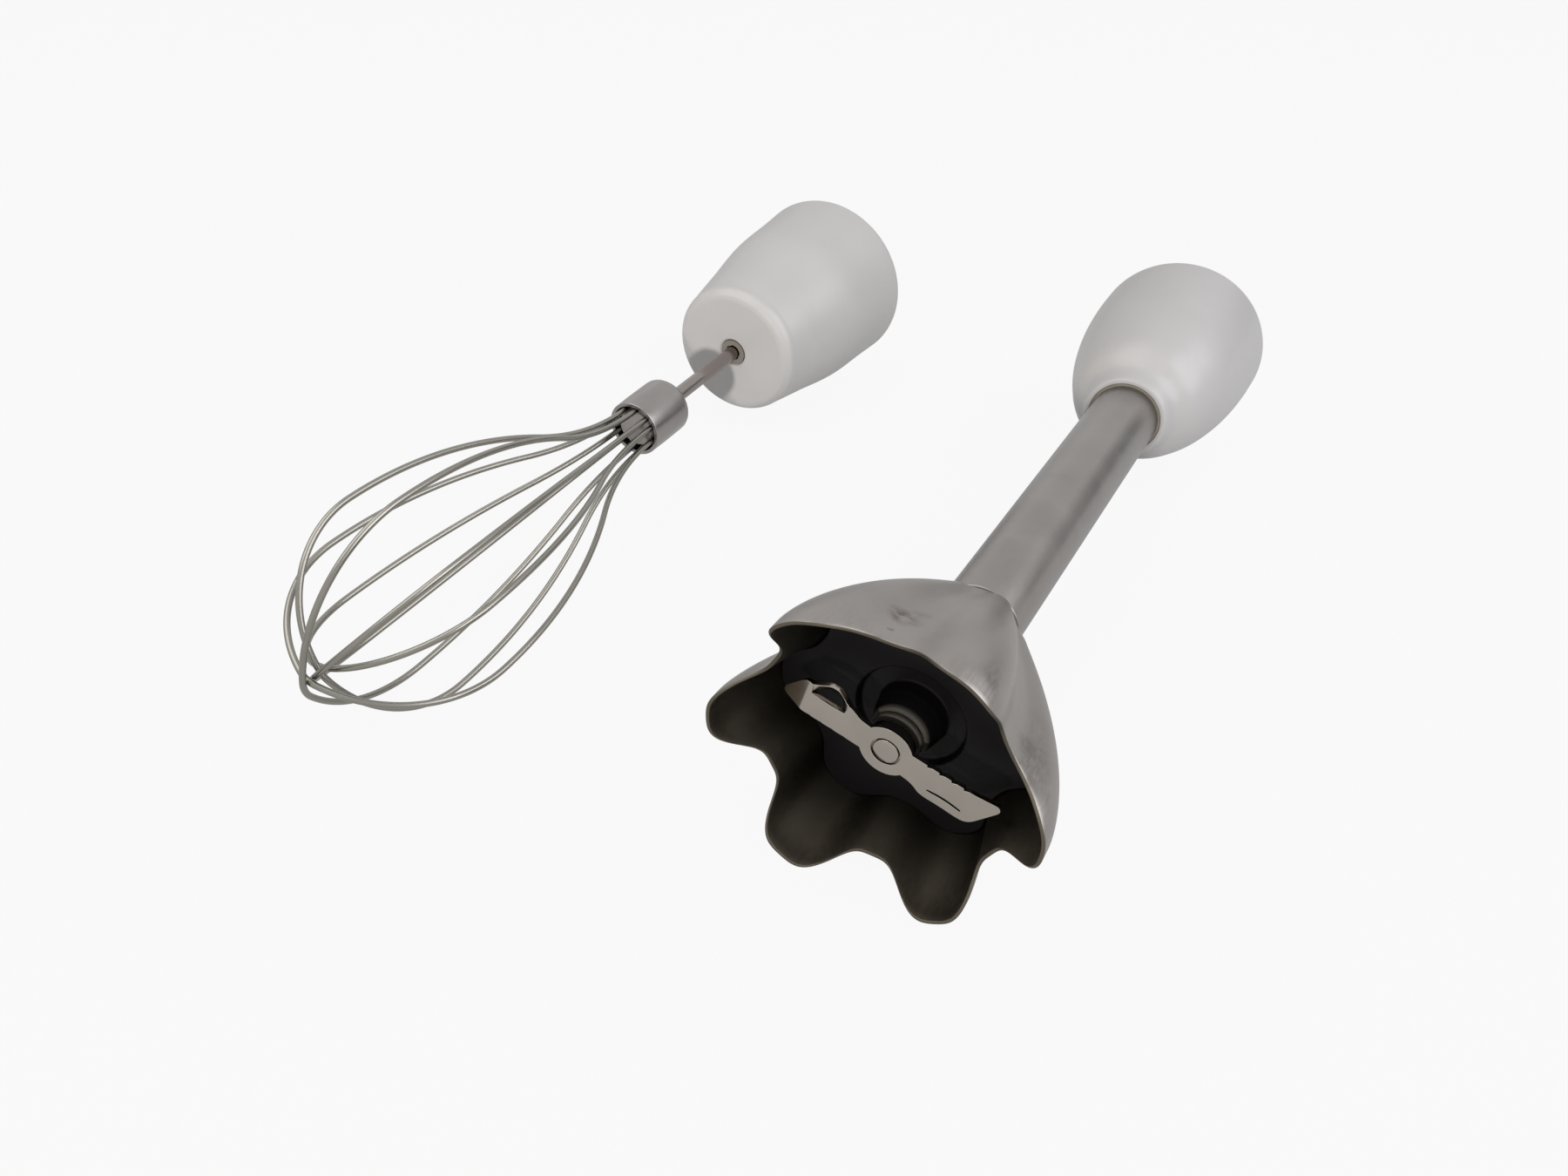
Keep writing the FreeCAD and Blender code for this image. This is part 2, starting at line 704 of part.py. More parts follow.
def gearbox_housing():
    """White housing: domed nose, room for the gears, and the cup of the coupling."""
    outer = [(gearbox_x, gearbox_face_r), (gearbox_x + gearbox_brow_x, gearbox_brow_r),
             (gearbox_x + gearbox_shoulder_x, gearbox_shoulder_r),
             (gearbox_x + gearbox_mid_x, gearbox_mid_r),
             (gearbox_x + gearbox_waist_x, gearbox_waist_r),
             (gearbox_x + gearbox_belly_x, gearbox_belly_r),
             (gearbox_end - gearbox_edge, gearbox_end_r)]
    cup_r = socket_outer_r + seat_gap
    shell = spun((gearbox_x, nose_hole_r), outer, (gearbox_end, gearbox_end_r - gearbox_edge),
                 (gearbox_end, cup_r), (gear_room_end, cup_r), (gear_room_end, gear_room_r),
                 (output_bush_end, gear_room_r), (output_bush_x, gear_room_r - 2),
                 (output_bush_x, nose_boss_r), (output_bush_end, nose_boss_r),
                 (output_bush_end, output_bush_r + seat_gap),
                 (output_bush_x, output_bush_r + seat_gap),
                 (output_bush_x, socket_hub_r + 0.3), (hub_front - 0.4, socket_hub_r + 0.3),
                 (hub_front - 0.4, nose_hole_r))
    return shell.cut([rod(gear_room_end - screw_length + plate_thickness + socket_floor,
                          gear_room_end + 1, screw_r + seat_gap).translated(place)
                      for place in screw_places()])


def screw_places():
    angles = [math.radians(90 + 360 / screw_count * i) for i in range(screw_count)]
    return [Vector(0, screw_circle_r * math.cos(a), screw_circle_r * math.sin(a))
            for a in angles]


def gearbox_screws():
    """Pan-head screws through sleeve floor and plate into the housing."""
    head_x = plate_end + socket_floor
    tip = head_x - screw_length + slip_gap
    screw = spun((tip, 0), (tip + 1, screw_r), (head_x, screw_r), (head_x, screw_head_r),
                 (head_x + screw_head_height - 0.5, screw_head_r),
                 (head_x + screw_head_height, screw_head_r - 0.5),
                 (head_x + screw_head_height, 0))
    cross = block(head_x + screw_head_height - 0.7, head_x + screw_head_height + 1,
                  -1.1, 1.1, -0.25, 0.25)
    driven = screw.cut([cross, turned(cross, 90)])
    return Part.makeCompound([driven.translated(place) for place in screw_places()])


def screw_holes(start, end):
    return [rod(start, end, screw_r + slip_gap).translated(place) for place in screw_places()]


def gearbox_plate():
    """Plate behind the gears, with the boss of the input bush."""
    body = ring(gear_room_end, plate_end, bush_r + seat_gap, plate_r)
    return body.cut(screw_holes(gear_room_end - 1, plate_end + 1))


def gearbox_coupling_sleeve():
    sleeve = coupling_sleeve(plate_end, whisk_mouth, plate_r)
    return sleeve.cut(screw_holes(plate_end - 1, plate_end + socket_floor + 1))


def output_bush():
    return ring(output_bush_x, output_bush_end, socket_hub_r + running_gap, output_bush_r)


def socket_seal():
    """Ring in the nose hole round the whisk shaft."""
    return ring(gearbox_x + 0.3, hub_front - 0.6, whisk_shaft_r + 0.35, nose_hole_r - seat_gap)


# ------------------------------------------------------------------ gears
def involute(angle):
    return math.tan(angle) - angle


def gear_face_outline(teeth, root_r, tip_r, tooth, first):
    """Face of a gear with involute flanks; first is the angle of one tooth's centre."""
    pitch_r = gear_module * teeth / 2
    alpha = math.radians(pressure_angle)
    base_r = pitch_r * math.cos(alpha)
    half_tooth = tooth / 2 / pitch_r + involute(alpha)
    low = max(base_r, root_r)
    radii = [low + (tip_r - low) * i / 3 for i in range(4)]
    offsets = [half_tooth - involute(math.acos(base_r / radius)) for radius in radii]

    def at(radius, turn):
        return Vector(0, radius * math.cos(turn), radius * math.sin(turn))
    edges = []
    previous = None
    centres = [math.radians(first + 360 / teeth * i) for i in range(teeth + 1)]
    for centre in centres:
        rising = [at(r, centre - offset) for r, offset in zip(radii, offsets)]
        falling = [at(r, centre + offset) for r, offset in zip(radii, offsets)][::-1]
        if root_r < low:
            rising = [at(root_r, centre - offsets[0])] + rising
            falling = falling + [at(root_r, centre + offsets[0])]
        if previous is not None:
            edges.append(Part.LineSegment(previous, rising[0]).toShape())
        if centre == centres[-1]:
            break
        points = rising + falling
        edges += [Part.LineSegment(a, b).toShape() for a, b in zip(points, points[1:])]
        previous = points[-1]
    return Part.Face(Part.Wire(edges))


def spur_gear(teeth, start, bore_r, first):
    pitch_r = gear_module * teeth / 2
    face = gear_face_outline(teeth, pitch_r - dedendum * gear_module,
                             pitch_r + addendum * gear_module,
                             math.pi * gear_module / 2 - backlash, first)
    gear = face.extrude(AXIS * gear_face).translated(Vector(start, 0, 0))
    return gear.cut(rod(start - 1, start + gear_face + 1, bore_r))


def sun_gear():
    return spur_gear(sun_teeth, sun_x, shaft_r + seat_gap, 0)


def planet_gear(number):
    """Planet with a gap between teeth towards the sun, and one towards the ring."""
    turn = 360 / planet_count * number
    gear = spur_gear(planet_teeth, sun_x, pin_r + running_gap,
                     turn + 180 / planet_teeth)
    spoke = math.radians(turn)
    return moved(gear, 0, orbit_r * math.cos(spoke), orbit_r * math.sin(spoke))


def ring_gear():
    void = gear_face_outline(ring_teeth, ring_pitch_r - addendum * gear_module,
                             ring_pitch_r + dedendum * gear_module,
                             math.pi * gear_module / 2 + backlash, 180 / ring_teeth)
    start = gear_room_end - ring_face
    body = rod(start, gear_room_end, ring_gear_r)
    return body.cut(void.extrude(AXIS * (ring_face + 2)).translated(Vector(start - 1, 0, 0)))


def pin_places():
    spokes = [math.radians(360 / planet_count * i) for i in range(planet_count)]
    return [Vector(0, orbit_r * math.cos(a), orbit_r * math.sin(a)) for a in spokes]


def planet_carrier():
    """Disc that holds the planet pins, with the tube that the whisk plugs into."""
    disc = rod(carrier_front, carrier_back, orbit_r + 3)
    tube = rod(hub_front, carrier_front + 1, socket_hub_r)
    bore = rod(hub_front - 1, socket_depth_x, whisk_shaft_r + slip_gap)
    clip_room_x = hub_front + clip_from_hub_front
    clip_room = ring(clip_room_x - slip_gap, clip_room_x + clip_thickness + slip_gap, 0,
                     whisk_shaft_r + clip_wall)
    holes = [rod(carrier_front - 1, carrier_back + 1, pin_r + seat_gap).translated(place)
             for place in pin_places()]
    return joined(disc, tube).cut([bore, clip_room] + holes)


def planet_pins():
    pin = rod(carrier_front, sun_x + gear_face, pin_r)
    return Part.makeCompound([pin.translated(place) for place in pin_places()])


def socket_clip():
    """Spring ring in the carrier that snaps into the whisk shaft's groove."""
    start = hub_front + clip_from_hub_front
    return ring(start, start + clip_thickness, whisk_shaft_r + slip_gap,
                whisk_shaft_r + clip_wall - seat_gap)


def input_shaft():
    return rod(sun_x, whisk_mouth - coupler_depth - dog_depth - 1, shaft_r)


def input_bush():
    return bush(gear_room_end, plate_thickness)


# --------------------------------------------------------------- assembly
foot_pieces = {
    "bell_guard": bell_guard(),
    "bell_liner": bell_liner(),
    "shaft_seal": shaft_seal(),
    "lower_bush": bush(bush_x, lower_bush_length),
    "shaft_sleeve": shaft_sleeve(),
    "bearing_carrier": bearing_carrier(),
    "upper_bush": bush(carrier_end - upper_bush_inset - upper_bush_length,
                       upper_bush_length),
    "carrier_o_ring": carrier_o_ring(),
    "foot_tube": foot_tube(),
    "tube_retaining_ring": tube_retaining_ring(),
    "foot_collar": foot_collar(),
    "collar_seal_ring": collar_seal_ring(),
    "foot_coupling_sleeve": coupling_sleeve(foot_floor_x, foot_mouth, throat_outer_r),
    "drive_shaft": drive_shaft(),
    "foot_drive_coupler": drive_coupler(foot_coupler_x, foot_mouth, shaft_r + seat_gap),
    "shaft_circlip": shaft_circlip(),
    "thrust_washer": thrust_washer(),
    "blade_boss": blade_boss(),
    "blade": blade(),
    "blade_rivet": blade_rivet(),
}

whisk_pieces = {
    "gearbox_housing": gearbox_housing(),
    "gearbox_coupling_sleeve": gearbox_coupling_sleeve(),
    "gearbox_plate": gearbox_plate(),
    "gearbox_screws": gearbox_screws(),
    "ring_gear": ring_gear(),
    "input_bush": input_bush(),
    "output_bush": output_bush(),
    "socket_seal": socket_seal(),
    "whisk_drive_coupler": drive_coupler(plate_end + end_play, whisk_mouth,
                                         shaft_r + seat_gap),
    "input_shaft": input_shaft(),
    "sun_gear": sun_gear(),
    "planet_carrier": planet_carrier(),
    "planet_pins": planet_pins(),
    "socket_clip": socket_clip(),
    "whisk_shaft": whisk_shaft(),
    "whisk_ferrule": whisk_ferrule(),
    "ferrule_plug": ferrule_plug(),
}
for number in range(planet_count):
    whisk_pieces["planet_gear_%d" % (number + 1)] = planet_gear(number)
for number in range(len(loop_turns)):
    whisk_pieces["wire_loop_%d" % (number + 1)] = wire_loop(number)


def rest_tilt(front_x, front_reach, back_x, back_reach):
    """Angle by which a tool on the table leans down towards its coupling."""
    return math.degrees(math.asin((front_reach - back_reach) / (back_x - front_x)))


def laid_down(tilt, x, y):
    """Placement of a tool that leans by tilt, with its datum over x, y."""
    return FreeCAD.Placement(Vector(x, y, 0), FreeCAD.Rotation(Vector(0, 1, 0), tilt))


def placed(piece, place):
    copy = piece.copy()
    copy.Placement = place.multiply(copy.Placement)
    return copy


def extent(pieces, place):
    """Exact box of a tool's pieces at a placement."""
    shapes = [placed(piece, place) for piece in pieces.values()]
    return Part.makeCompound(shapes).optimalBoundingBox(False)


petal_reach = max(-bell_radius(angle, 0) * math.sin(math.radians(angle))
                  for angle in range(-120, -59))
wire_reach = wire_r + max((balloon_r - bulge) * math.sin(math.radians(turn))
                          for turn, bulge in zip(loop_turns, loop_bulges))
foot_tilt = rest_tilt(0, petal_reach, collar_end - collar_edge, collar_end_r)
whisk_tilt = rest_tilt(-balloon_widest, wire_reach, gearbox_end - gearbox_edge, gearbox_end_r)
foot_place = laid_down(foot_tilt, 0, 0)
whisk_place = laid_down(whisk_tilt, whisk_ahead, whisk_aside)
foot_box = extent(foot_pieces, foot_place)
whisk_box = extent(whisk_pieces, whisk_place)

# Origin under the middle of both tools, each standing on z = 0
middle_x = (min(foot_box.XMin, whisk_box.XMin) + max(foot_box.XMax, whisk_box.XMax)) / 2
middle_y = (min(foot_box.YMin, whisk_box.YMin) + max(foot_box.YMax, whisk_box.YMax)) / 2
foot_place.Base = foot_place.Base - Vector(middle_x, middle_y, foot_box.ZMin)
whisk_place.Base = whisk_place.Base - Vector(middle_x, middle_y, whisk_box.ZMin)

os.makedirs("parts", exist_ok=True)
for pieces, place in ((foot_pieces, foot_place), (whisk_pieces, whisk_place)):
    for name, piece in pieces.items():
        placed(piece, place).exportStep("parts/%s.step" % name)
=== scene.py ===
"""Looks of an immersion blender's blending foot and whisk attachment on a pale table.

Each piece is drawn in millimetres along its tool's axis, as the solids are, and then
put in the place of the CAD node that it stands for.
"""
import bmesh
import bpy
import json
import math
from mathutils import Matrix, Vector

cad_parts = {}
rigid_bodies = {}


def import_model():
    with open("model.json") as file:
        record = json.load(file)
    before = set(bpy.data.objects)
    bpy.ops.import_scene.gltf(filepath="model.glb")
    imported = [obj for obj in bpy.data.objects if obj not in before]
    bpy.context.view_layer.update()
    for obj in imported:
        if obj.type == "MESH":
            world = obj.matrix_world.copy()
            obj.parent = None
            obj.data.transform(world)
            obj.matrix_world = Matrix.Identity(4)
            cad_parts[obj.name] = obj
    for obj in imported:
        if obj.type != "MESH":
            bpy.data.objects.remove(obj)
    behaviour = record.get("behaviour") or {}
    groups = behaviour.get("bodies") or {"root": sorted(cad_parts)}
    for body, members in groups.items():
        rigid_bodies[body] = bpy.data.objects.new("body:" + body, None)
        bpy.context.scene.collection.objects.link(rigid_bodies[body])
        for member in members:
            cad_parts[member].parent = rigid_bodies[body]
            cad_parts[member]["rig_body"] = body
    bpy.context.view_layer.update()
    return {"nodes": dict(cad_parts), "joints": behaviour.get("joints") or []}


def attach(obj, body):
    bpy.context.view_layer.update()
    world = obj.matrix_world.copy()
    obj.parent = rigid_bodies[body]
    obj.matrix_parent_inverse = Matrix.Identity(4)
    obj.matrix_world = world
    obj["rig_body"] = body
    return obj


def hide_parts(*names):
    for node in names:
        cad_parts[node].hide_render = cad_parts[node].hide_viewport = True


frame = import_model()
MM = 0.001


# ------------------------------------------------------------ tool axes
class Tool:
    """A tool's own axes, read from the frame: x along it, y to the left, z up."""

    def __init__(self, joint_name, node):
        joint = next(j for j in frame["joints"] if j["name"] == joint_name)
        self.axis = Vector(joint["axis"]).normalized()
        self.side = Vector((0, 0, 1)).cross(self.axis).normalized()
        self.up = self.axis.cross(self.side)
        self.origin = Vector(joint["pos_m"])
        self.origin += self.axis * self.span(node)[0] * MM

    def span(self, node):
        """Start, end and outer radius of a CAD node along the axis, in millimetres."""
        spokes = [v.co - self.origin for v in frame["nodes"][node].data.vertices]
        along = [spoke.dot(self.axis) / MM for spoke in spokes]
        radii = [(spoke - self.axis * spoke.dot(self.axis)).length / MM for spoke in spokes]
        return min(along), max(along), max(radii)

    def at(self, x, radius, angle):
        """Point at a place along the axis, a radius and an angle in degrees from y to z."""
        turn = math.radians(angle)
        return (self.origin + self.axis * x * MM
                + self.side * radius * math.cos(turn) * MM
                + self.up * radius * math.sin(turn) * MM)

    def turn(self):
        """Rotation from the tool's axes to the frame's."""
        return Matrix((self.axis, self.side, self.up)).transposed().to_euler()


foot = Tool("blade_spin", "foot_tube")
bell_length = 51.5
foot.origin -= foot.axis * bell_length * MM
whisk = Tool("input_spin", "whisk_ferrule")


# ------------------------------------------------------------ mesh helpers
WELD = 1e-3              # points closer than this become one, in millimetres
SPECK = 1e-4             # edges shorter than this are dropped
BEVEL_ANGLE = 35         # edges sharper than this are broken, in degrees


def rounded(corners, steps=4):
    """Closed outline with soft corners: each corner is (x, r), or (x, r, fillet)."""
    outline = []
    for number, corner in enumerate(corners):
        here = Vector(corner[:2])
        if len(corner) < 3:
            outline.append(here)
            continue
        before = Vector(corners[number - 1][:2]) - here
        after = Vector(corners[(number + 1) % len(corners)][:2]) - here
        start = here + before.normalized() * corner[2]
        end = here + after.normalized() * corner[2]
        for step in range(steps + 1):
            share = step / steps
            outline.append((1 - share) ** 2 * start + 2 * share * (1 - share) * here
                           + share ** 2 * end)
    return outline


def smooth(points, steps=10):
    """Curve through the points, with tangents that follow their neighbours."""
    points = [Vector(point) for point in points]
    slopes = []
    for number, point in enumerate(points):
        before = points[max(number - 1, 0)]
        after = points[min(number + 1, len(points) - 1)]
        back, ahead = (point - before).length or 1, (after - point).length or 1
        slopes.append((((point - before) / back * ahead + (after - point) / ahead * back)
                       / (back + ahead)).normalized())
    curve = [points[0]]
    for (a, b), (leave, arrive) in zip(zip(points, points[1:]), zip(slopes, slopes[1:])):
        reach = (b - a).length / 3
        for step in range(1, steps + 1):
            s = step / steps
            curve.append((1 - s) ** 3 * a + 3 * s * (1 - s) ** 2 * (a + leave * reach)
                         + 3 * s ** 2 * (1 - s) * (b - arrive * reach) + s ** 3 * b)
    return curve


def finish_mesh(name, builder, materials, sharp=40):
    """Object from a bmesh, shaded smooth but for edges sharper than an angle."""
    bmesh.ops.remove_doubles(builder, verts=builder.verts, dist=WELD * MM)
    bmesh.ops.dissolve_degenerate(builder, edges=builder.edges, dist=SPECK * MM)
    bmesh.ops.recalc_face_normals(builder, faces=builder.faces)
    mesh = bpy.data.meshes.new(name)
    builder.to_mesh(mesh)
    builder.free()
    for polygon in mesh.polygons:
        polygon.use_smooth = True
    mesh.set_sharp_from_angle(angle=math.radians(sharp))
    for material in materials:
        mesh.materials.append(material)
    piece = bpy.data.objects.new(name, mesh)
    bpy.context.scene.collection.objects.link(piece)
    return piece


def lathe(name, tool, outline_at, materials, spokes=128, tint=None):
    """Solid turned about a tool's axis. The closed outline of (x, r) points is a list,
    or a function of the angle. tint gives a stretch's material from its number."""
    builder = bmesh.new()
    rows = []
    for spoke in range(spokes):
        angle = 360 * spoke / spokes
        outline = outline_at(angle) if callable(outline_at) else outline_at
        rows.append([builder.verts.new(tool.at(x, r, angle)) for x, r in outline])
    for row, following in zip(rows, rows[1:] + rows[:1]):
        for number in range(len(row)):
            corners = (row[number - 1], row[number], following[number], following[number - 1])
            face = builder.faces.new(corners)
            face.material_index = tint(number) if tint else 0
    return finish_mesh(name, builder, materials)


def softened(node, width, materials):
    """Copy of a CAD node with its sharp edges broken, as on a real part."""
    builder = bmesh.new()
    builder.from_mesh(frame["nodes"][node].data)
    bmesh.ops.remove_doubles(builder, verts=builder.verts, dist=2 * WELD * MM)
    bmesh.ops.dissolve_limit(builder, angle_limit=math.radians(1), verts=builder.verts,
                             edges=builder.edges)
    for face in builder.faces:
        face.material_index = 0
    piece = finish_mesh(node + "_soft", builder, materials)
    bevel = piece.modifiers.new("bevel", "BEVEL")
    bevel.width = width * MM
    bevel.segments = 2
    bevel.limit_method = "ANGLE"
    bevel.angle_limit = math.radians(BEVEL_ANGLE)
    bevel.harden_normals = True
    return piece


def stitch(builder, rings):
    """Skin a row of equal rings of points, and close both of its ends."""
    for ring, following in zip(rings, rings[1:]):
        for number in range(len(ring)):
            builder.faces.new((ring[number - 1], ring[number], following[number],
                               following[number - 1]))
    builder.faces.new(rings[0])
    builder.faces.new(rings[-1])


def dress(piece, node):
    """Put a finished piece in the place of a CAD node, on the same body."""
    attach(piece, frame["nodes"][node]["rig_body"])
    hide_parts(node)


# ------------------------------------------------------------ materials
def srgb(red, green, blue):
    """Linear colour from a display colour of 0 to 255."""
    return tuple((c / 255 / 12.92) if c <= 10 else ((c / 255 + 0.055) / 1.055) ** 2.4
                 for c in (red, green, blue)) + (1,)


def shaded(colour, factor):
    """Colour made darker or lighter by a factor."""
    return tuple(c * factor for c in colour[:3]) + (1,)


class Nodes:
    """The node tree of a material or world, with short calls for what is used here."""

    def __init__(self, owner):
        owner.use_nodes = True
        self.tree = owner.node_tree

    def new(self, kind):
        return self.tree.nodes.new(kind)

    def link(self, output, socket):
        self.tree.links.new(output, socket)

    def feed(self, socket, value):
        """Link a socket to a socket, or set it to a number or a colour."""
        if isinstance(value, (int, float, tuple)):
            socket.default_value = value
        else:
            self.link(value, socket)

    def math(self, operation, first, second):
        node = self.new("ShaderNodeMath")
        node.operation = operation
        self.feed(node.inputs[0], first)
        self.feed(node.inputs[1], second)
        return node.outputs["Value"]

    def vector_math(self, operation, first, second):
        node = self.new("ShaderNodeVectorMath")
        node.operation = operation
        self.feed(node.inputs[0], first)
        self.feed(node.inputs[1], second)
        return node

    def grey_ramp(self, value, stops):
        """Grey level by a value, given by rising stops of position and level."""
        node = self.new("ShaderNodeValToRGB")
        ramp = node.color_ramp
        for _ in range(len(stops) - 2):
            ramp.elements.new(0.5)
        for stop, (position, level) in zip(ramp.elements, stops):
            stop.position = position
            stop.color = (level, level, level, 1)
        self.link(value, node.inputs["Fac"])
        return node.outputs["Color"]

    def background(self, colour):
        node = self.new("ShaderNodeBackground")
        self.feed(node.inputs["Color"], colour)
        return node.outputs["Background"]

    def mix_shader(self, share, first, second):
        node = self.new("ShaderNodeMixShader")
        for socket, output in zip(node.inputs, (share, first, second)):
            self.link(output, socket)
        return node.outputs["Shader"]


class Finish(Nodes):
    """A material drawn in a tool's own millimetres, for one Principled shader."""

    def __init__(self, name, tool, metallic=0.0, specular=0.5, coat=0.0):
        self.material = bpy.data.materials.new(name)
        super().__init__(self.material)
        self.bsdf = self.tree.nodes["Principled BSDF"]
        self.bsdf.inputs["Metallic"].default_value = metallic
        self.bsdf.inputs["Specular IOR Level"].default_value = specular
        self.bsdf.inputs["Coat Weight"].default_value = coat
        self.bsdf.inputs["Coat Roughness"].default_value = 0.12
        coordinates = self.new("ShaderNodeTexCoord")
        self.place = self.new("ShaderNodeMapping")
        self.place.vector_type = "TEXTURE"
        self.place.inputs["Location"].default_value = tool.origin
        self.place.inputs["Rotation"].default_value = tool.turn()
        self.place.inputs["Scale"].default_value = (MM, MM, MM)
        self.link(coordinates.outputs["Object"], self.place.inputs["Vector"])

    def noise(self, scale, detail=3.0, stretch=(1, 1, 1), distortion=0.0):
        """Noise in the tool's millimetres: scale is features per millimetre."""
        mapping = self.new("ShaderNodeMapping")
        mapping.inputs["Scale"].default_value = stretch
        self.link(self.place.outputs["Vector"], mapping.inputs["Vector"])
        noise = self.new("ShaderNodeTexNoise")
        noise.inputs["Scale"].default_value = scale
        noise.inputs["Detail"].default_value = detail
        noise.inputs["Distortion"].default_value = distortion
        self.link(mapping.outputs["Vector"], noise.inputs["Vector"])
        return noise.outputs["Fac"]

    def spread(self, value, low, high, start=0.3, end=0.7):
        """Value between start and end, mapped to low..high."""
        span = self.new("ShaderNodeMapRange")
        for name, number in (("From Min", start), ("From Max", end),
                             ("To Min", low), ("To Max", high)):
            span.inputs[name].default_value = number
        self.link(value, span.inputs["Value"])
        return span.outputs["Result"]

    def mix(self, share, first, second):
        """Colour between first and second; each is a colour or a socket."""
        node = self.new("ShaderNodeMix")
        node.data_type = "RGBA"
        self.link(share, node.inputs["Factor"])
        for socket, value in zip([s for s in node.inputs if s.type == "RGBA"],
                                 (first, second)):
            self.feed(socket, value)
        return next(s for s in node.outputs if s.type == "RGBA")

    def spot(self, centre, radius):
        """1 at a place on the tool, falling to 0 at a radius, in millimetres."""
        away = self.vector_math("DISTANCE", self.place.outputs["Vector"], centre)
        return self.spread(away.outputs["Value"], 1, 0, start=0, end=radius)

    def along(self):
        """Place along the tool, in millimetres."""
        parts = self.new("ShaderNodeSeparateXYZ")
        self.link(self.place.outputs["Vector"], parts.inputs["Vector"])
        return parts.outputs["X"]

    def bump(self, height, strength, depth):
        """Relief from a height, its depth in millimetres."""
        node = self.new("ShaderNodeBump")
        node.inputs["Strength"].default_value = strength
        node.inputs["Distance"].default_value = depth * MM
        self.link(height, node.inputs["Height"])
        self.link(node.outputs["Normal"], self.bsdf.inputs["Normal"])

    def end(self, colour, roughness):
        """Link the colour and the roughness, and give the finished material."""
        self.link(colour, self.bsdf.inputs["Base Color"])
        self.link(roughness, self.bsdf.inputs["Roughness"])
        return self.material


def steel(name, tool, colour, roughness, lengthwise=True, stains=(), polish=1.0,
          painted_shade_span=None):
    """Brushed or polished steel: fine streaks, faint clouds, stains where given, and
    painted shade that deepens between two places along the tool. Polish scales the streaks."""
    finish = Finish(name, tool, metallic=1.0)
    stretch = (0.03, 1, 1) if lengthwise else (1, 0.03, 0.03)
    streaks = finish.noise(scale=3.0, detail=4.0, stretch=stretch)
    clouds = finish.noise(scale=0.09, detail=4.0, distortion=0.6)
    shade = finish.math("ADD", finish.spread(streaks, -0.35 * polish, 0.35 * polish),
                        finish.spread(clouds, 0.1, 0.9))
    tone = finish.mix(shade, shaded(colour, 0.93), shaded(colour, 1.06))
    rough = finish.math("ADD", finish.spread(streaks, roughness * (1 - 0.15 * polish),
                                             roughness * (1 + 0.15 * polish)),
                        finish.spread(clouds, -0.02, 0.02))
    # Painted shade: the colour darkens to 0.3 of itself between the two places, for the shade
    # deep in a hollow.
    if painted_shade_span:
        tone = finish.mix(finish.spread(finish.along(), 0, 1, *painted_shade_span), tone,
                          shaded(colour, 0.3))
    for centre, radius, stain, strength in stains:
        ragged = finish.noise(scale=0.4, detail=2.0, distortion=0.5)
        mark = finish.math("MULTIPLY", finish.spot(centre, radius),
                           finish.spread(ragged, 0.1, 1.8, start=0.35, end=0.7))
        mark = finish.math("MULTIPLY", finish.math("MINIMUM", mark, 1.0), strength)
        tone = finish.mix(mark, tone, stain)
        rough = finish.math("ADD", rough, finish.math("MULTIPLY", mark, 0.15))
    finish.bump(streaks, strength=0.2 * polish, depth=0.01)
    return finish.end(tone, rough)


def moulded(name, tool, colour, roughness, grain=0.8, depth=0.01, specular=0.5, coat=0.0):
    """Moulded plastic or rubber: a faint orange peel, and colour that drifts a little."""
    finish = Finish(name, tool, specular=specular, coat=coat)
    peel = finish.noise(scale=grain)
    drift = finish.noise(scale=0.06, distortion=0.4)
    tone = finish.mix(finish.spread(drift, 0, 1), shaded(colour, 0.97),
                      shaded(colour, 1.015))
    rough = finish.math("ADD", finish.spread(peel, roughness * 0.9, roughness * 1.1),
                        finish.spread(drift, -0.02, 0.02))
    finish.bump(peel, strength=0.12, depth=depth)
    return finish.end(tone, rough)


def sintered(name, tool, colour, roughness):
    """Sintered bronze with open pores."""
    finish = Finish(name, tool, metallic=1.0)
    pores = finish.noise(scale=4.0, detail=2.0)
    tone = finish.mix(finish.spread(pores, 0, 1, start=0.35, end=0.45),
                      shaded(colour, 0.45), colour)
    finish.bump(pores, strength=0.5, depth=0.03)
    return finish.end(tone, finish.spread(pores, roughness * 1.3, roughness))


SMUDGE = srgb(98, 84, 76)
WORN_PATCH = srgb(112, 104, 100)
BELL_STAINS = [          # place on the foot, radius, colour and strength of each
    ((14.5, 2.2, 24.6), 4.2, SMUDGE, 0.65),
    ((18.5, 0.9, 23.1), 2.5, SMUDGE, 0.4),
    ((7.9, 2.3, 26.3), 0.9, SMUDGE, 0.7),
    ((9.5, -25.8, 8.8), 5.0, WORN_PATCH, 0.5),
    ((3.0, -27.6, 9.0), 4.0, WORN_PATCH, 0.5)]
bell_steel = steel("bell_steel", foot, srgb(165, 160, 156), 0.36, stains=BELL_STAINS)
# Painted shade: the bell's inside is its steel written darker than the outside, and darker
# still from the rim to the liner.
bell_shaded_inside = steel("bell_shaded_inside", foot, srgb(116, 109, 97), 0.5, polish=0.6,
                    painted_shade_span=(1.0, 15.0))
tube_steel = steel("tube_steel", foot, srgb(160, 156, 153), 0.3, polish=0.3)
blade_steel = steel("blade_steel", foot, srgb(178, 171, 162), 0.17, lengthwise=False,
                    polish=0.3)
wire_steel = steel("wire_steel", whisk, srgb(158, 155, 147), 0.25, polish=0.0)
ferrule_steel = steel("ferrule_steel", whisk, srgb(164, 160, 158), 0.24, lengthwise=False,
                      polish=0.1)
shaft_steel = steel("shaft_steel", whisk, srgb(160, 153, 150), 0.12, lengthwise=False,
                    polish=0.3)
screw_steel = steel("screw_steel", whisk, srgb(150, 150, 150), 0.35)
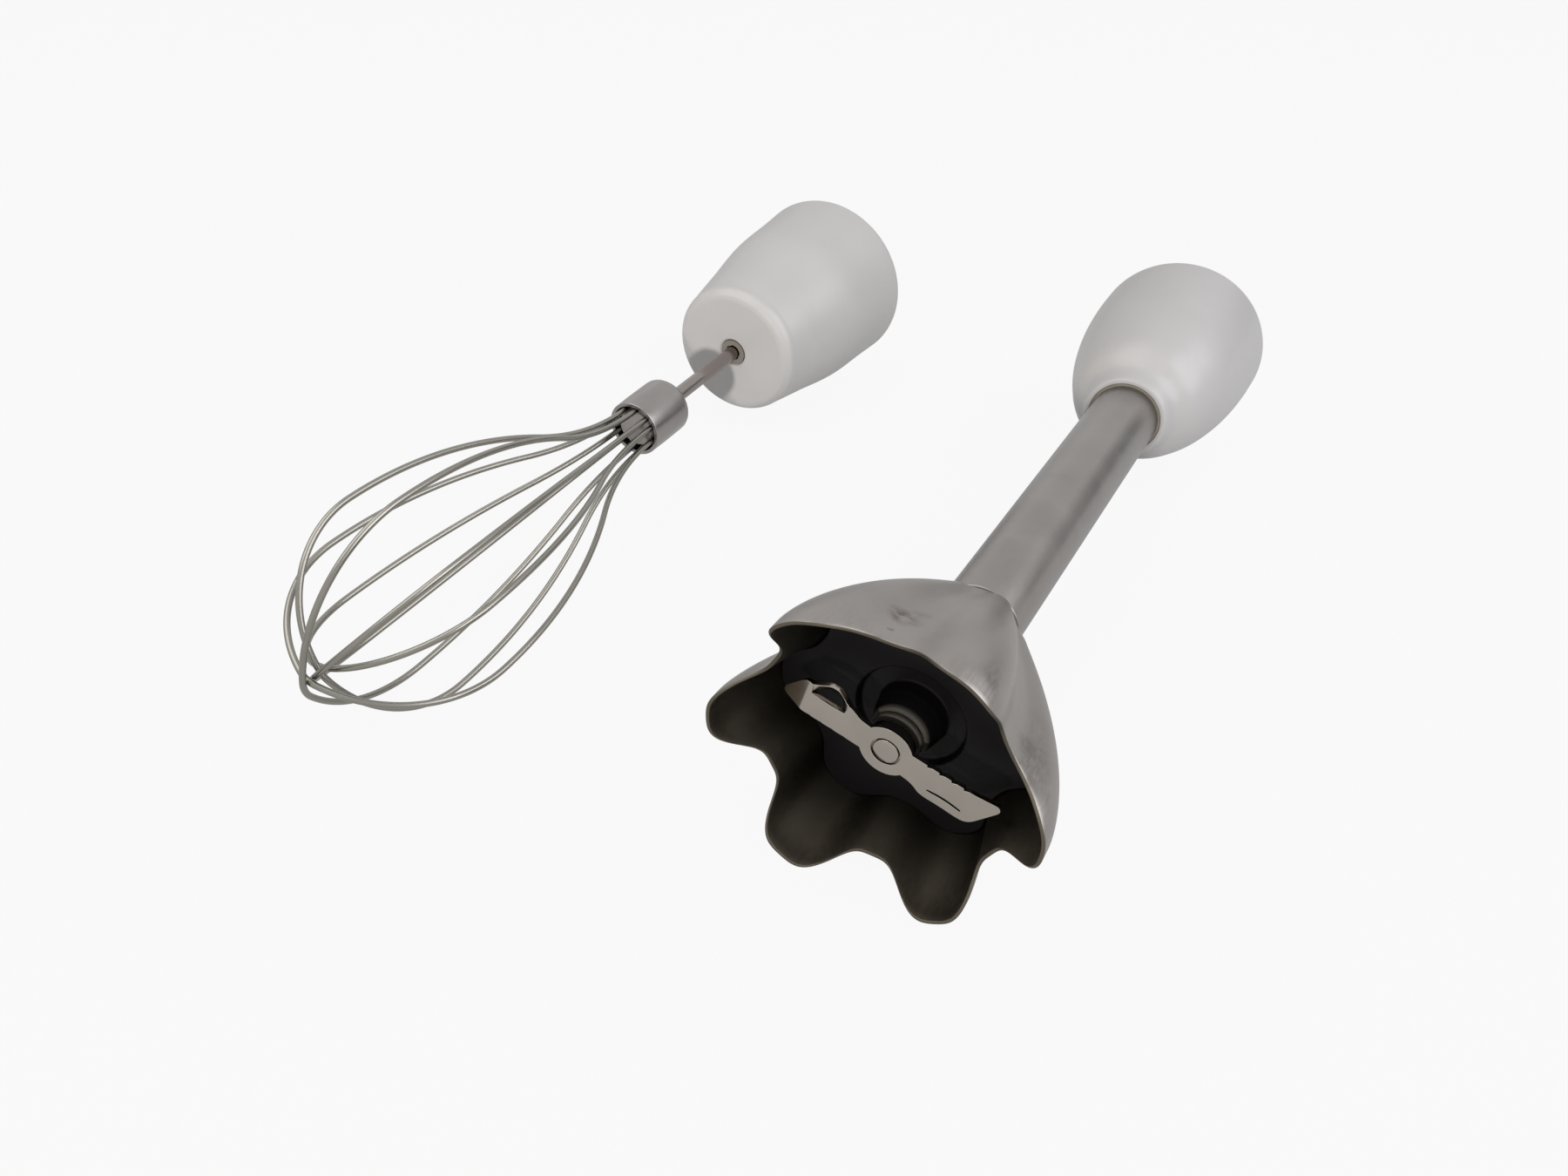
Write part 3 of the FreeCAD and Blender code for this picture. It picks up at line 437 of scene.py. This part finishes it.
foot_white = moulded("foot_white", foot, srgb(200, 198, 197), 0.32, coat=0.1)
whisk_white = moulded("whisk_white", whisk, srgb(206, 204, 202), 0.32, coat=0.1)
inner_plastic = moulded("inner_plastic", foot, srgb(196, 196, 193), 0.5)
black_plastic = moulded("black_plastic", foot, srgb(17, 15, 16), 0.45, grain=1.2, depth=0.02,
                        specular=0.2)
gear_plastic = moulded("gear_plastic", whisk, srgb(222, 218, 202), 0.45)
grey_seal = moulded("grey_seal", foot, srgb(74, 70, 64), 0.55)
plug_grey = moulded("plug_grey", whisk, srgb(150, 146, 144), 0.5)
dark_seal = moulded("dark_seal", foot, srgb(140, 134, 124), 0.6)
bush_bronze = sintered("bush_bronze", foot, srgb(168, 128, 84), 0.45)

SLOT_MATERIALS = {
    "bell_steel": bell_steel, "tube_steel": tube_steel, "blade_steel": blade_steel,
    "shaft_steel": shaft_steel, "wire_steel": wire_steel, "ferrule_steel": ferrule_steel,
    "white_plastic": foot_white, "inner_plastic": inner_plastic,
    "black_plastic": black_plastic, "gear_plastic": gear_plastic, "grey_seal": grey_seal,
    "dark_seal": dark_seal, "bush_bronze": bush_bronze, "screw_steel": screw_steel,
}


def node_slot(node):
    """Material slot that the record gives a CAD node."""
    return frame["nodes"][node].data.materials[0].name.split(".")[0]


# ------------------------------------------------------------ bell
flutes = 6
bell_rim_r = 34.1        # at the crowns of the petals
bell_waist_r = 10.0
bell_flare = 1.5         # power of the curve from waist to rim
bell_sheet = 0.8         # thickness of the sheet, as it looks at the rim
flute_depth = 0.116      # share of the radius, at the rim
flute_deepening = 0.014  # and more of it at the neck
flute_sharpening = 0.009
rim_wave = 4.05          # the petals reach this far past the mean rim
rim_wave_sharpening = 0.5
rim_round = 0.3
neck_r = 9.0
neck_blend = 8           # power that blends the fluted bell into the round neck
neck_bore_r = 7.4
neck_roof = 5.5          # thickness of the roof under the neck
shoulder_length = 3.0
spigot_r = 8.5           # ring above the neck that stands in the tube
spigot_length = 6.0
SHOULDER_ROWS, OUTER_ROWS, ROUND_ROWS, INNER_ROWS = 10, 48, 4, 32


def flute_wave(angle, harmonic=1):
    """1 at the crown of a petal and -1 between two, or a harmonic of that wave."""
    return math.cos(math.radians(harmonic * flutes * angle))


def crown_radius(x):
    """Outer radius of the bell along a petal's crown, without its shoulder."""
    along = max(x, 0.0) / bell_length
    return bell_waist_r + (bell_rim_r - bell_waist_r) * (1 - along ** bell_flare)


def bell_radius(angle, x):
    """Outer radius of the fluted bell at an angle and a place along its axis."""
    depth = flute_depth + flute_deepening * max(x, 0.0) / bell_length
    ripple = 1 + depth * flute_wave(angle) - flute_sharpening * flute_wave(angle, 3)
    lobed = crown_radius(x) * ripple / (1 + depth - flute_sharpening)
    flared = (lobed ** neck_blend + neck_r ** neck_blend) ** (1 / neck_blend)
    past = (x - (bell_length - shoulder_length)) / shoulder_length
    if past <= 0:
        return flared
    return neck_r + (flared - neck_r) * math.sqrt(max(0.0, 1 - past ** 2))


def bell_bore(angle, x):
    """Inner radius of the bell, the sheet measured square to the flare."""
    slope = crown_radius(x - 0.5) - crown_radius(x + 0.5)
    return bell_radius(angle, x) - bell_sheet * math.hypot(1, slope)


def rim_x(angle):
    """Place of the wavy rim along the axis, from its mean plane."""
    return -rim_wave * flute_wave(angle) + rim_wave_sharpening * flute_wave(angle, 3)


def bell_outline(angle):
    """Section of the bell's sheet: outside from neck to rim, round the edge, inside back."""
    start = bell_length - shoulder_length
    lip = rim_x(angle) + rim_round
    places = [start + shoulder_length * math.sin(math.pi / 2 * (1 - i / SHOULDER_ROWS))
              for i in range(SHOULDER_ROWS)]
    places += [start + (lip - start) * i / OUTER_ROWS for i in range(OUTER_ROWS + 1)]
    outline = [(x, bell_radius(angle, x)) for x in places]
    outside, inside = bell_radius(angle, lip), bell_bore(angle, lip)
    half = (outside - inside) / 2
    for i in range(1, 2 * ROUND_ROWS):
        turn = math.pi * i / (2 * ROUND_ROWS)
        outline.append((lip - rim_round * math.sin(turn),
                        inside + half + half * math.cos(turn)))
    roof = bell_length - neck_roof
    places = [lip + (roof - lip) * i / INNER_ROWS for i in range(INNER_ROWS + 1)]
    outline += [(x, bell_bore(angle, x)) for x in places]
    spigot_end = bell_length + spigot_length
    return outline + [(roof, neck_bore_r), (spigot_end, neck_bore_r), (spigot_end, spigot_r),
                      (bell_length, spigot_r)]


def bell_tint(number):
    """Outer steel for the outside of the sheet, the darker copy with painted shade for its edge
    and inside.
    """
    edge = SHOULDER_ROWS + OUTER_ROWS + 1
    return 1 if edge < number <= edge + 2 * ROUND_ROWS + INNER_ROWS + 1 else 0


bell = lathe("bell", foot, bell_outline, [bell_steel, bell_shaded_inside], 432, bell_tint)
dress(bell, "bell_guard")

# ------------------------------------------------------------ liner, seal and boss
liner_x = 16.3
liner_thickness = 2.0
liner_gap = 0.1
groove_r = 11.6          # outer radius of the ring groove
groove_depth = 2.2
groove_foot_r = 7.2
hub_front = 12.0
hub_front_r = 6.1
hub_steps = ((0.6, 7.0), (1.6, 6.7))    # in front of the liner, and their radius
hub_end = 26.0
hub_end_r = 7.0
hub_bore_r = 2.55
liner_socket_x = 20.5    # end of the disc's thick middle
liner_socket_r = 13.0


def liner_outline(angle):
    """Section of the black liner: fluted disc, groove ring, and stepped hub."""
    edge = bell_bore(angle, liner_x + liner_thickness / 2) - liner_gap
    back = liner_x + liner_thickness
    return rounded([(back, edge), (liner_x, edge, 0.4), (liner_x, groove_r, 0.7),
                    (liner_x + groove_depth, groove_r - 0.3, 0.8),
                    (liner_x + groove_depth, groove_foot_r, 0.6)]
                   + [(liner_x - ahead, r, 0.3) for ahead, r in hub_steps]
                   + [(hub_front, hub_front_r, 0.5), (hub_front, hub_bore_r),
                      (hub_end, hub_bore_r), (hub_end, hub_end_r),
                      (liner_socket_x, hub_end_r), (liner_socket_x, liner_socket_r),
                      (back, liner_socket_r)])


liner = lathe("liner", foot, liner_outline, [black_plastic], 240)
dress(liner, "bell_liner")

seal_front = 9.6
seal_lips = [(seal_front, 5.3, 0.4), (10.5, 5.5, 0.3), (10.9, 5.1, 0.3), (11.3, 6.0, 0.4)]
seal = lathe("seal", foot, rounded(
    [(seal_front, hub_bore_r)] + seal_lips
    + [(hub_front, hub_front_r), (hub_front, hub_bore_r)]), [grey_seal], 96)
dress(seal, "shaft_seal")

boss_front, boss_back = 6.7, 8.8
boss_r, boss_bore_r = 4.9, 2.52
boss = lathe("boss", foot, rounded([
    (boss_front, boss_bore_r), (boss_front, boss_r, 0.4), (boss_back, boss_r, 0.4),
    (boss_back, boss_bore_r)]), [shaft_steel], 96)
dress(boss, "blade_boss")

# ------------------------------------------------------------ blade and rivet
blade_x, blade_sheet = foot.span("blade")[0], 1.2
blade_angle = 16.0
hub_r = 5.6
wing_back, wing_front = 2.9, 4.9                # half widths, toothed and slotted side
wing_inner, wing_root, wing_bend, wing_tip = 3.5, 9.0, 18.0, 23.6
tooth_places = (8.0, 10.6, 13.2, 15.8)
tooth_length = 1.3
slot_start, slot_end, slot_low = 10.0, 17.4, 2.5
slit_width = 0.55                               # between the strip and the slot's far edge
strip_overlap = 0.7                             # of the strip's ends on the wing
strip_sink = 0.03                               # strip set in from both faces of the wing
strip_ramp = 2.2                                # how steeply its bow starts at both ends
bend_length = 1.4                               # over which a tip's bend builds up
edge_round = 0.2
STATION_STEP, STRIP_STATIONS = 0.15, 48
# The two wings differ from wear: one value for each.
tip_bends = (22.0, 8.0)         # degrees into the bell
strip_bows = (2.6, 0.4)         # how far the strip beside the slot is bowed into the bell
strip_twists = (-34.0, 0.0)     # degrees that it is turned by in its middle
tooth_depths = (0.1, 0.5)
slot_bulges = (0.1, 0.5)        # what the slot is wider in its middle
rivet_head_r, rivet_bore_r, rivet_pin_r = 2.7, 1.6, 1.5
recess_r, recess_depth = 3.05, 0.9              # of the blade's hub, for the rivet's head
rivet_rise, rivet_length = 0.4, 4.6


def ease(share):
    """Smooth step from 0 to 1."""
    share = min(1.0, max(0.0, share))
    return share * share * (3 - 2 * share)


def across(outline, u):
    """Lowest and highest v of a closed outline at a station."""
    cuts = [a.y + (b.y - a.y) * (u - a.x) / (b.x - a.x)
            for a, b in zip(outline, outline[1:] + outline[:1])
            if a.x != b.x and (a.x - u) * (b.x - u) <= 0]
    return min(cuts), max(cuts)


def bar(builder, stations, angle, sheet):
    """Closed bar of sheet along a wing. A station is its (x, u), the heading of the sheet
    there in radians towards x, its lowest and highest v, and its twist in radians."""
    rings = []
    for (x, u), heading, low, high, twist in stations:
        ring = []
        middle = (low + high) / 2
        for flat, aside in rounded([(0, low, edge_round), (0, high, edge_round),
                                    (sheet, high, edge_round), (sheet, low, edge_round)]):
            aside -= middle
            depth = flat * math.cos(twist) + aside * math.sin(twist)
            v = middle + aside * math.cos(twist) - flat * math.sin(twist)
            along = u - depth * math.sin(heading)
            ring.append(builder.verts.new(foot.at(
                x + depth * math.cos(heading), math.hypot(along, v),
                math.degrees(math.atan2(v, along)) + angle)))
        rings.append(ring)
    stitch(builder, rings)


def wing(builder, angle, tip_bend, strip_bow, strip_twist, tooth_depth, slot_bulge):
    """Wing with a toothed edge, a bent tip, and a bowed strip beside its slot."""
    slot_middle = (slot_start + slot_end) / 2
    outline = [(wing_inner - 1, -wing_back)]
    for u in tooth_places:
        outline += [(u, -wing_back, 0.2), (u + 0.15, -wing_back + tooth_depth, 0.2),
                    (u + tooth_length, -wing_back, 0.4)]
    outline += [(wing_tip - 0.2, -wing_back, 1.0), (wing_tip, -wing_back + 1.4, 0.9),
                (wing_bend + 1.5, wing_front, 1.6), (slot_end + 0.1, wing_front, 0.1),
                (slot_end, slot_low + 0.2, 0.3), (slot_middle, slot_low - slot_bulge, 3.0),
                (slot_start, slot_low + 0.2, 0.3), (slot_start - 0.1, wing_front, 0.1),
                (wing_root, wing_front, 0.9), (wing_root - 2, wing_front - 1.3, 1.4),
                (wing_inner - 1, wing_front - 1.7)]
    outline = rounded(outline)
    place, stations = Vector((blade_x, wing_inner)), []
    for number in range(round((wing_tip - wing_inner) / STATION_STEP)):
        along = wing_inner + STATION_STEP * number
        heading = math.radians(tip_bend) * ease((along - wing_bend) / bend_length + 0.5)
        low, high = across(outline, along)
        stations.append((place, heading, low, high, 0.0))
        place = place + STATION_STEP * Vector((math.sin(heading), math.cos(heading)))
    bar(builder, stations, angle, blade_sheet)
    start, stations = slot_start - strip_overlap, []
    reach, nudge = slot_end + strip_overlap - start, 0.01
    for number in range(STRIP_STATIONS + 1):
        share = number / STRIP_STATIONS
        bowed, later = [ease(part * strip_ramp) * ease((1 - part) * strip_ramp)
                        for part in (share, min(1.0, share + nudge))]
        heading = math.atan(strip_bow * (later - bowed) / (nudge * reach))
        lens = slot_bulge * math.sin(math.pi * share)
        stations.append(((blade_x + strip_sink + strip_bow * bowed, start + reach * share),
                         heading, slot_low + slit_width + 0.4 * lens,
                         wing_front - 0.02 + lens,
                         math.radians(strip_twist) * bowed))
    bar(builder, stations, angle, blade_sheet - 2 * strip_sink)


builder = bmesh.new()
wear = zip(tip_bends, strip_bows, strip_twists, tooth_depths, slot_bulges)
for number, values in enumerate(wear):
    wing(builder, blade_angle + 180 * number, *values)
blade_face, blade_back = blade_x - 0.02, blade_x + blade_sheet + 0.02
recess_x = blade_x + recess_depth
hub = lathe("hub", foot, rounded([
    (blade_face, recess_r, 0.1), (blade_face, hub_r, 0.2), (blade_back, hub_r, 0.2),
    (blade_back, rivet_bore_r), (recess_x, rivet_bore_r), (recess_x, recess_r)]),
    [blade_steel], 96)
builder.from_mesh(hub.data)
bpy.data.objects.remove(hub)
blade = finish_mesh("blade_polished", builder, [blade_steel])
blade.modifiers.new("flats", "WEIGHTED_NORMAL").keep_sharp = True
dress(blade, "blade")

rivet_top, rivet_end = blade_x - rivet_rise, blade_x + rivet_length
rivet = lathe("rivet", foot, rounded([
    (rivet_top, 0), (rivet_top, 1.8, 0.8), (blade_x, rivet_head_r, 0.3),
    (recess_x, rivet_head_r), (recess_x, rivet_pin_r), (rivet_end, rivet_pin_r),
    (rivet_end, 0)]), [blade_steel], 64)
dress(rivet, "blade_rivet")

# ------------------------------------------------------------ tube and collar
tube_bore_r = 8.65
socket_wall_r = 22.5     # inside of both housings round their coupling sleeves
mouth_inset = 0.02       # of both mouths, so that they stay inside the solids' bounds
fit = 0.05               # gap between the collar and what passes through it
throat_depth = 24.5      # of the collar's wide bore
throat_r = 18.5
tube_grip = 2.0          # what the tube reaches past the collar's web
tube_room_r = 12.4
gasket_seat = 3.3        # depth of the seal ring's seat
gasket_inset = 0.2
COLLAR_CURVE = ((1.0, 11.8), (5.3, 13.3), (9.5, 16.8), (18.7, 20.7), (34.0, 24.3),
                (48.5, 25.8), (58.5, 26.1))     # (x from the collar's start, radius)

tube_start, tube_end, tube_r = foot.span("foot_tube")
tube = lathe("tube", foot, rounded([
    (tube_start, tube_bore_r), (tube_start, tube_r, 0.35), (tube_end, tube_r, 0.3),
    (tube_end, tube_bore_r)]), [tube_steel], 128)
dress(tube, "foot_tube")

collar_start, collar_end = foot.span("foot_collar")[:2]
cup_start = foot.span("foot_coupling_sleeve")[0]
gasket_r = foot.span("collar_seal_ring")[2]
mouth, throat, web = collar_end - mouth_inset, collar_end - throat_depth, tube_end - tube_grip
seat = collar_start + gasket_seat
collar = lathe("collar", foot, rounded(
    [(collar_start, gasket_r + fit, 0.4), (collar_start, 11.4, 0.5)]
    + smooth([(collar_start + x, r) for x, r in COLLAR_CURVE])
    + [(mouth, 25.9, 0.5), (mouth, socket_wall_r, 0.3), (throat, socket_wall_r),
       (throat, throat_r), (cup_start, throat_r), (cup_start, tube_room_r),
       (web, tube_room_r), (web, tube_r + fit), (seat, tube_r + fit),
       (seat, gasket_r + fit)]), [foot_white], 192)
dress(collar, "foot_collar")

gasket_front = collar_start + gasket_inset
gasket = lathe("gasket", foot, rounded([
    (gasket_front, tube_r + 0.02), (gasket_front, gasket_r, 0.2),
    (seat, gasket_r), (seat, tube_r + 0.02)]), [dark_seal], 96)
dress(gasket, "collar_seal_ring")

for name in ("foot_coupling_sleeve", "gearbox_coupling_sleeve"):
    dress(softened(name, 0.3, [inner_plastic]), name)

# ------------------------------------------------------------ gearbox
nose_wall = 4.0          # front wall of the housing
nose_hole_r = 4.55
nose_hole = ((1.8, nose_hole_r), (0.9, 4.0, 0.3), (0.0, 4.6, 0.5))     # its lip
nose_r = 17.6
gear_room_r, gear_room_end = 17.6, 28.5
HOUSING_CURVE = ((0.5, 18.6), (2.2, 19.9), (5.2, 20.5), (19.4, 23.0), (35.6, 25.9),
                 (51.8, 26.9), (62.1, 27.6))    # (x from the housing's start, radius)

box_start, box_end = whisk.span("gearbox_housing")[:2]
box_mouth, room_end = box_end - mouth_inset, box_start + gear_room_end
housing = lathe("housing", whisk, rounded(
    [(box_start + corner[0], *corner[1:]) for corner in nose_hole]
    + [(box_start, nose_r, 0.9)]
    + smooth([(box_start + x, r) for x, r in HOUSING_CURVE])
    + [(box_end - 0.5, 27.45, 1.1), (box_mouth, 25.8, 0.4), (box_mouth, socket_wall_r, 0.3),
       (room_end, socket_wall_r), (room_end, gear_room_r),
       (box_start + nose_wall, gear_room_r), (box_start + nose_wall, nose_hole_r)]),
    [whisk_white], 192)
dress(housing, "gearbox_housing")

# ------------------------------------------------------------ whisk
ferrule_wall = 2.8       # its back wall
ferrule_bore_r = 6.85
shaft_hole_r = 2.12
plug_r, plug_end = 5.2, 9.6
plug_pocket = 6.0        # where the shaft ends in the plug
clip_groove_start, clip_groove_width = 6.2, 0.6     # ring groove that the clip holds
clip_groove_depth, clip_groove_slope = 0.25, 0.2

_, ferrule_back, ferrule_r = whisk.span("whisk_ferrule")
ferrule_floor = ferrule_back - ferrule_wall
ferrule = lathe("ferrule", whisk, rounded([
    (ferrule_floor, shaft_hole_r), (ferrule_back, shaft_hole_r, 0.3),
    (ferrule_back, ferrule_r, 2.2), (6.0, ferrule_r, 1.5), (0.0, ferrule_r - 0.15, 0.3),
    (0.0, ferrule_bore_r, 0.25), (ferrule_floor, ferrule_bore_r)], steps=6),
    [ferrule_steel], 128)
dress(ferrule, "whisk_ferrule")

plug = lathe("plug", whisk, rounded([
    (0.3, 0), (0.6, plug_r, 0.5), (plug_end, plug_r), (plug_end, shaft_hole_r),
    (plug_pocket, shaft_hole_r), (plug_pocket, 0)]), [plug_grey], 96)
dress(plug, "ferrule_plug")

shaft_start, shaft_end, shaft_r = whisk.span("whisk_shaft")
groove_x = box_start + clip_groove_start
groove_end = groove_x + clip_groove_width
groove_floor_r = shaft_r - clip_groove_depth
shaft = lathe("shaft", whisk, rounded([
    (shaft_start, 0), (shaft_start, shaft_r), (groove_x - clip_groove_slope, shaft_r, 0.15),
    (groove_x, groove_floor_r), (groove_end, groove_floor_r),
    (groove_end + clip_groove_slope, shaft_r, 0.15), (shaft_end - 0.8, shaft_r, 0.3),
    (shaft_end, shaft_r - 0.6), (shaft_end, 0)]), [shaft_steel], 64)
dress(shaft, "whisk_shaft")

# ------------------------------------------------------------ wire loops
wire_r = 0.75
wire_ring_r = 6.0        # circle of the wires in the ferrule
wire_seat = 8.0          # their depth in it
balloon_length = 121.3
balloon_r = 25.3
balloon_widest = 88.2    # where it is widest, from the ferrule's mouth
balloon_tip_bend = 8.1   # radius of a wire's bend at the tip
root_bend_share = 0.36   # share of the first, outward bend in the flare's radii
loop_spacing = 1.62      # between loops at the tip, along the axis
loop_nesting = (1, 3, 0, 2, 4)              # how many loops reach past each one
loop_turns = (22, 64, 98, 135, 161)         # degrees from y towards z
loop_bulges = (-1.5, 2.0, 4.1, -0.7, 1.0)   # what its first half stands out further
WIRE_SIDES = 14
ARC_STEP = 1.2           # between points along a bend


def arc(start, heading, radius, turn):
    """Points along an arc that leaves start at heading, its end and the new heading."""
    side = math.copysign(90, turn)
    centre = start + radius * Vector((math.cos(math.radians(heading + side)),
                                      math.sin(math.radians(heading + side))))
    count = max(6, round(radius * math.radians(abs(turn)) / ARC_STEP))
    points = []
    for number in range(1, count + 1):
        spoke = math.radians(heading - side + turn * number / count)
        points.append(centre + radius * Vector((math.cos(spoke), math.sin(spoke))))
    return points, points[-1], heading + turn


def half_loop(tip_x, widest_r):
    """Half of a wire loop, from its seat in the ferrule to the balloon's tip."""
    rise = widest_r - wire_ring_r
    flare = 2 * math.degrees(math.atan2(rise, balloon_widest))
    radii = rise / (1 - math.cos(math.radians(flare)))
    reach = tip_x - balloon_widest
    side_bend_r = ((reach ** 2 + widest_r ** 2 - 2 * reach * balloon_tip_bend)
                   / (2 * (widest_r - balloon_tip_bend)))
    side_turn = math.degrees(math.atan2(reach - balloon_tip_bend, side_bend_r - widest_r))
    path = [Vector((wire_seat, wire_ring_r)), Vector((0, wire_ring_r))]
    place, heading = path[-1], 180
    for radius, turn in ((radii * root_bend_share, -flare),
                         (radii * (1 - root_bend_share), flare),
                         (side_bend_r, side_turn), (balloon_tip_bend, 90 - side_turn)):
        points, place, heading = arc(place, heading, radius, turn)
        path += points
    return path


def wire_loop(number):
    """Round wire swept along a loop, turned into its own plane of the balloon."""
    tip_x = balloon_length - wire_r - loop_nesting[number] * loop_spacing
    path = half_loop(tip_x, balloon_r + loop_bulges[number])
    far = half_loop(tip_x, balloon_r - loop_bulges[number])
    path += [Vector((x, -y)) for x, y in reversed(far[:-1])]
    tilt = loop_turns[number]
    builder = bmesh.new()
    rings = []
    for index, point in enumerate(path):
        ahead = path[min(index + 1, len(path) - 1)] - path[max(index - 1, 0)]
        across = Vector((-ahead.y, ahead.x)).normalized()
        ring = []
        for side in range(WIRE_SIDES):
            turn = 2 * math.pi * side / WIRE_SIDES
            x, y = point + across * wire_r * math.cos(turn)
            z = wire_r * math.sin(turn)
            radius, angle = math.hypot(y, z), math.degrees(math.atan2(z, y))
            ring.append(builder.verts.new(whisk.at(x, radius, angle + tilt)))
        rings.append(ring)
    stitch(builder, rings)
    return finish_mesh("wire_%d" % (number + 1), builder, [wire_steel])


for number in range(len(loop_turns)):
    dress(wire_loop(number), "wire_loop_%d" % (number + 1))

# ------------------------------------------------------------ carried-over nodes
for name, node in frame["nodes"].items():
    node.data.materials[0] = SLOT_MATERIALS[node_slot(name)]


# ------------------------------------------------------------ stage
WHITE = (1, 1, 1, 1)
AMBIENT = 0.3
# Stops of what gloss sees: level by the height of a direction, from horizon to zenith,
# and what is left of it by the nearness of a direction to the dark flag's.
STUDIO_LEVELS = ((0.0, 0.62), (0.13, 0.66), (0.28, 0.82), (0.5, 0.74))
FLAG_LEVELS = ((0.0, 1), (0.5, 1), (0.93, 1), (0.985, 0.42))
FLAG_DIRECTION = (0.84, -0.52, 0.10)


def floor_material():
    """Pale table: bright to the camera, less so to gloss, with the objects' shadow on it."""
    material = bpy.data.materials.new("pale_floor")
    nodes = Nodes(material)
    surface = nodes.tree.nodes["Principled BSDF"]
    surface.inputs["Base Color"].default_value = (0.45, 0.45, 0.45, 1)
    surface.inputs["Roughness"].default_value = 0.9
    surface.inputs["Specular IOR Level"].default_value = 0.0
    glow = nodes.new("ShaderNodeEmission")
    glow.inputs["Color"].default_value = WHITE
    rays = nodes.new("ShaderNodeLightPath")
    to_camera = nodes.math("MULTIPLY", rays.outputs["Is Camera Ray"], 0.92)
    to_gloss = nodes.math("MULTIPLY", rays.outputs["Is Glossy Ray"], 0.42)
    blend = nodes.mix_shader(nodes.math("MAXIMUM", to_camera, to_gloss),
                             surface.outputs["BSDF"], glow.outputs["Emission"])
    nodes.link(blend, nodes.tree.nodes["Material Output"].inputs["Surface"])
    return material


def lay_floor(size):
    """Square floor at the height on which the tools lie."""
    mesh = bpy.data.meshes.new("floor")
    half = size / 2
    mesh.from_pydata([(-half, -half, 0), (half, -half, 0), (half, half, 0), (-half, half, 0)],
                     [], [(0, 1, 2, 3)])
    mesh.materials.append(floor_material())
    floor = bpy.data.objects.new("floor", mesh)
    bpy.context.scene.collection.objects.link(floor)


def light_world():
    """Soft ambient light. The background is white to camera and glass. Gloss sees a
    studio: pale above, dimmer over the horizon, with one dark flag ahead on the right."""
    world = bpy.data.worlds.new("studio")
    bpy.context.scene.world = world
    nodes = Nodes(world)
    ambient = nodes.tree.nodes["Background"]
    ambient.inputs["Color"].default_value = WHITE
    ambient.inputs["Strength"].default_value = AMBIENT
    direction = nodes.new("ShaderNodeTexCoord").outputs["Generated"]
    parts = nodes.new("ShaderNodeSeparateXYZ")
    nodes.link(direction, parts.inputs["Vector"])
    towards = nodes.vector_math("DOT_PRODUCT", direction,
                                tuple(Vector(FLAG_DIRECTION).normalized()))
    studio = nodes.vector_math("MULTIPLY", nodes.grey_ramp(parts.outputs["Z"], STUDIO_LEVELS),
                               nodes.grey_ramp(towards.outputs["Value"], FLAG_LEVELS))
    rays = nodes.new("ShaderNodeLightPath").outputs
    soft = nodes.mix_shader(rays["Is Glossy Ray"], ambient.outputs["Background"],
                            nodes.background(studio.outputs["Vector"]))
    seen = nodes.math("MAXIMUM", rays["Is Camera Ray"], rays["Is Transmission Ray"])
    blend = nodes.mix_shader(seen, soft, nodes.background(WHITE))
    nodes.link(blend, nodes.tree.nodes["World Output"].inputs["Surface"])


def hang_lamp(name, place, target, size, watts, tint, glossy=True):
    """Round lamp aimed at a target. Gloss doesn't show it unless glossy is true."""
    lamp = bpy.data.lights.new(name, "AREA")
    lamp.shape = "DISK"
    lamp.size = size
    lamp.energy = watts
    lamp.color = tint
    holder = bpy.data.objects.new(name, lamp)
    holder.location = place
    holder.rotation_euler = (Vector(target) - Vector(place)).to_track_quat("-Z", "Y").to_euler()
    holder.visible_glossy = glossy
    bpy.context.scene.collection.objects.link(holder)


def set_camera():
    """Camera in front of the bell's mouth, looking down along the foot."""
    from_rim_x, from_rim_y, height = -142.0, -59.1, 186.6       # millimetres
    pitch, roll = math.radians(36.79), math.radians(0.8)
    focal_length = 27.0
    rim = foot.at(0, 0, 0)
    level = Vector((0.8760, 0.4824, 0)).normalized()
    forward = level * math.cos(pitch) - Vector((0, 0, 1)) * math.sin(pitch)
    across = forward.cross(Vector((0, 0, 1))).normalized()
    upright = across.cross(forward)
    tilted = across * math.cos(roll) + upright * math.sin(roll)
    top = upright * math.cos(roll) - across * math.sin(roll)
    data = bpy.data.cameras.new("camera")
    data.lens = focal_length
    data.sensor_width = 36.0
    data.clip_start = 0.01
    camera = bpy.data.objects.new("camera", data)
    place = Vector((rim.x + from_rim_x * MM, rim.y + from_rim_y * MM, height * MM))
    camera.matrix_world = (Matrix.Translation(place)
                           @ Matrix((tilted, top, -forward)).transposed().to_4x4())
    bpy.context.scene.collection.objects.link(camera)
    bpy.context.scene.camera = camera


middle = (0, 0, 0)
gearbox_face = whisk.at(box_start, 0, 0)
lay_floor(size=6.0)
light_world()
hang_lamp("key", (-0.2, 0.5, 1.1), middle, size=1.2, watts=4.35, tint=(1, 0.98, 0.95))
hang_lamp("window", (0.2, -0.95, 0.65), middle, size=1.1, watts=6.1, tint=(0.94, 0.95, 1))
# A small lamp ahead of the gearbox throws the ferrule's shadow on its face.
hang_lamp("front", gearbox_face + Vector((-0.96, -0.19, 0.19)) * 1.2, gearbox_face,
          size=0.06, watts=6.5, tint=(1, 0.97, 0.95), glossy=False)
set_camera()
bpy.context.scene.view_settings.view_transform = "Standard"
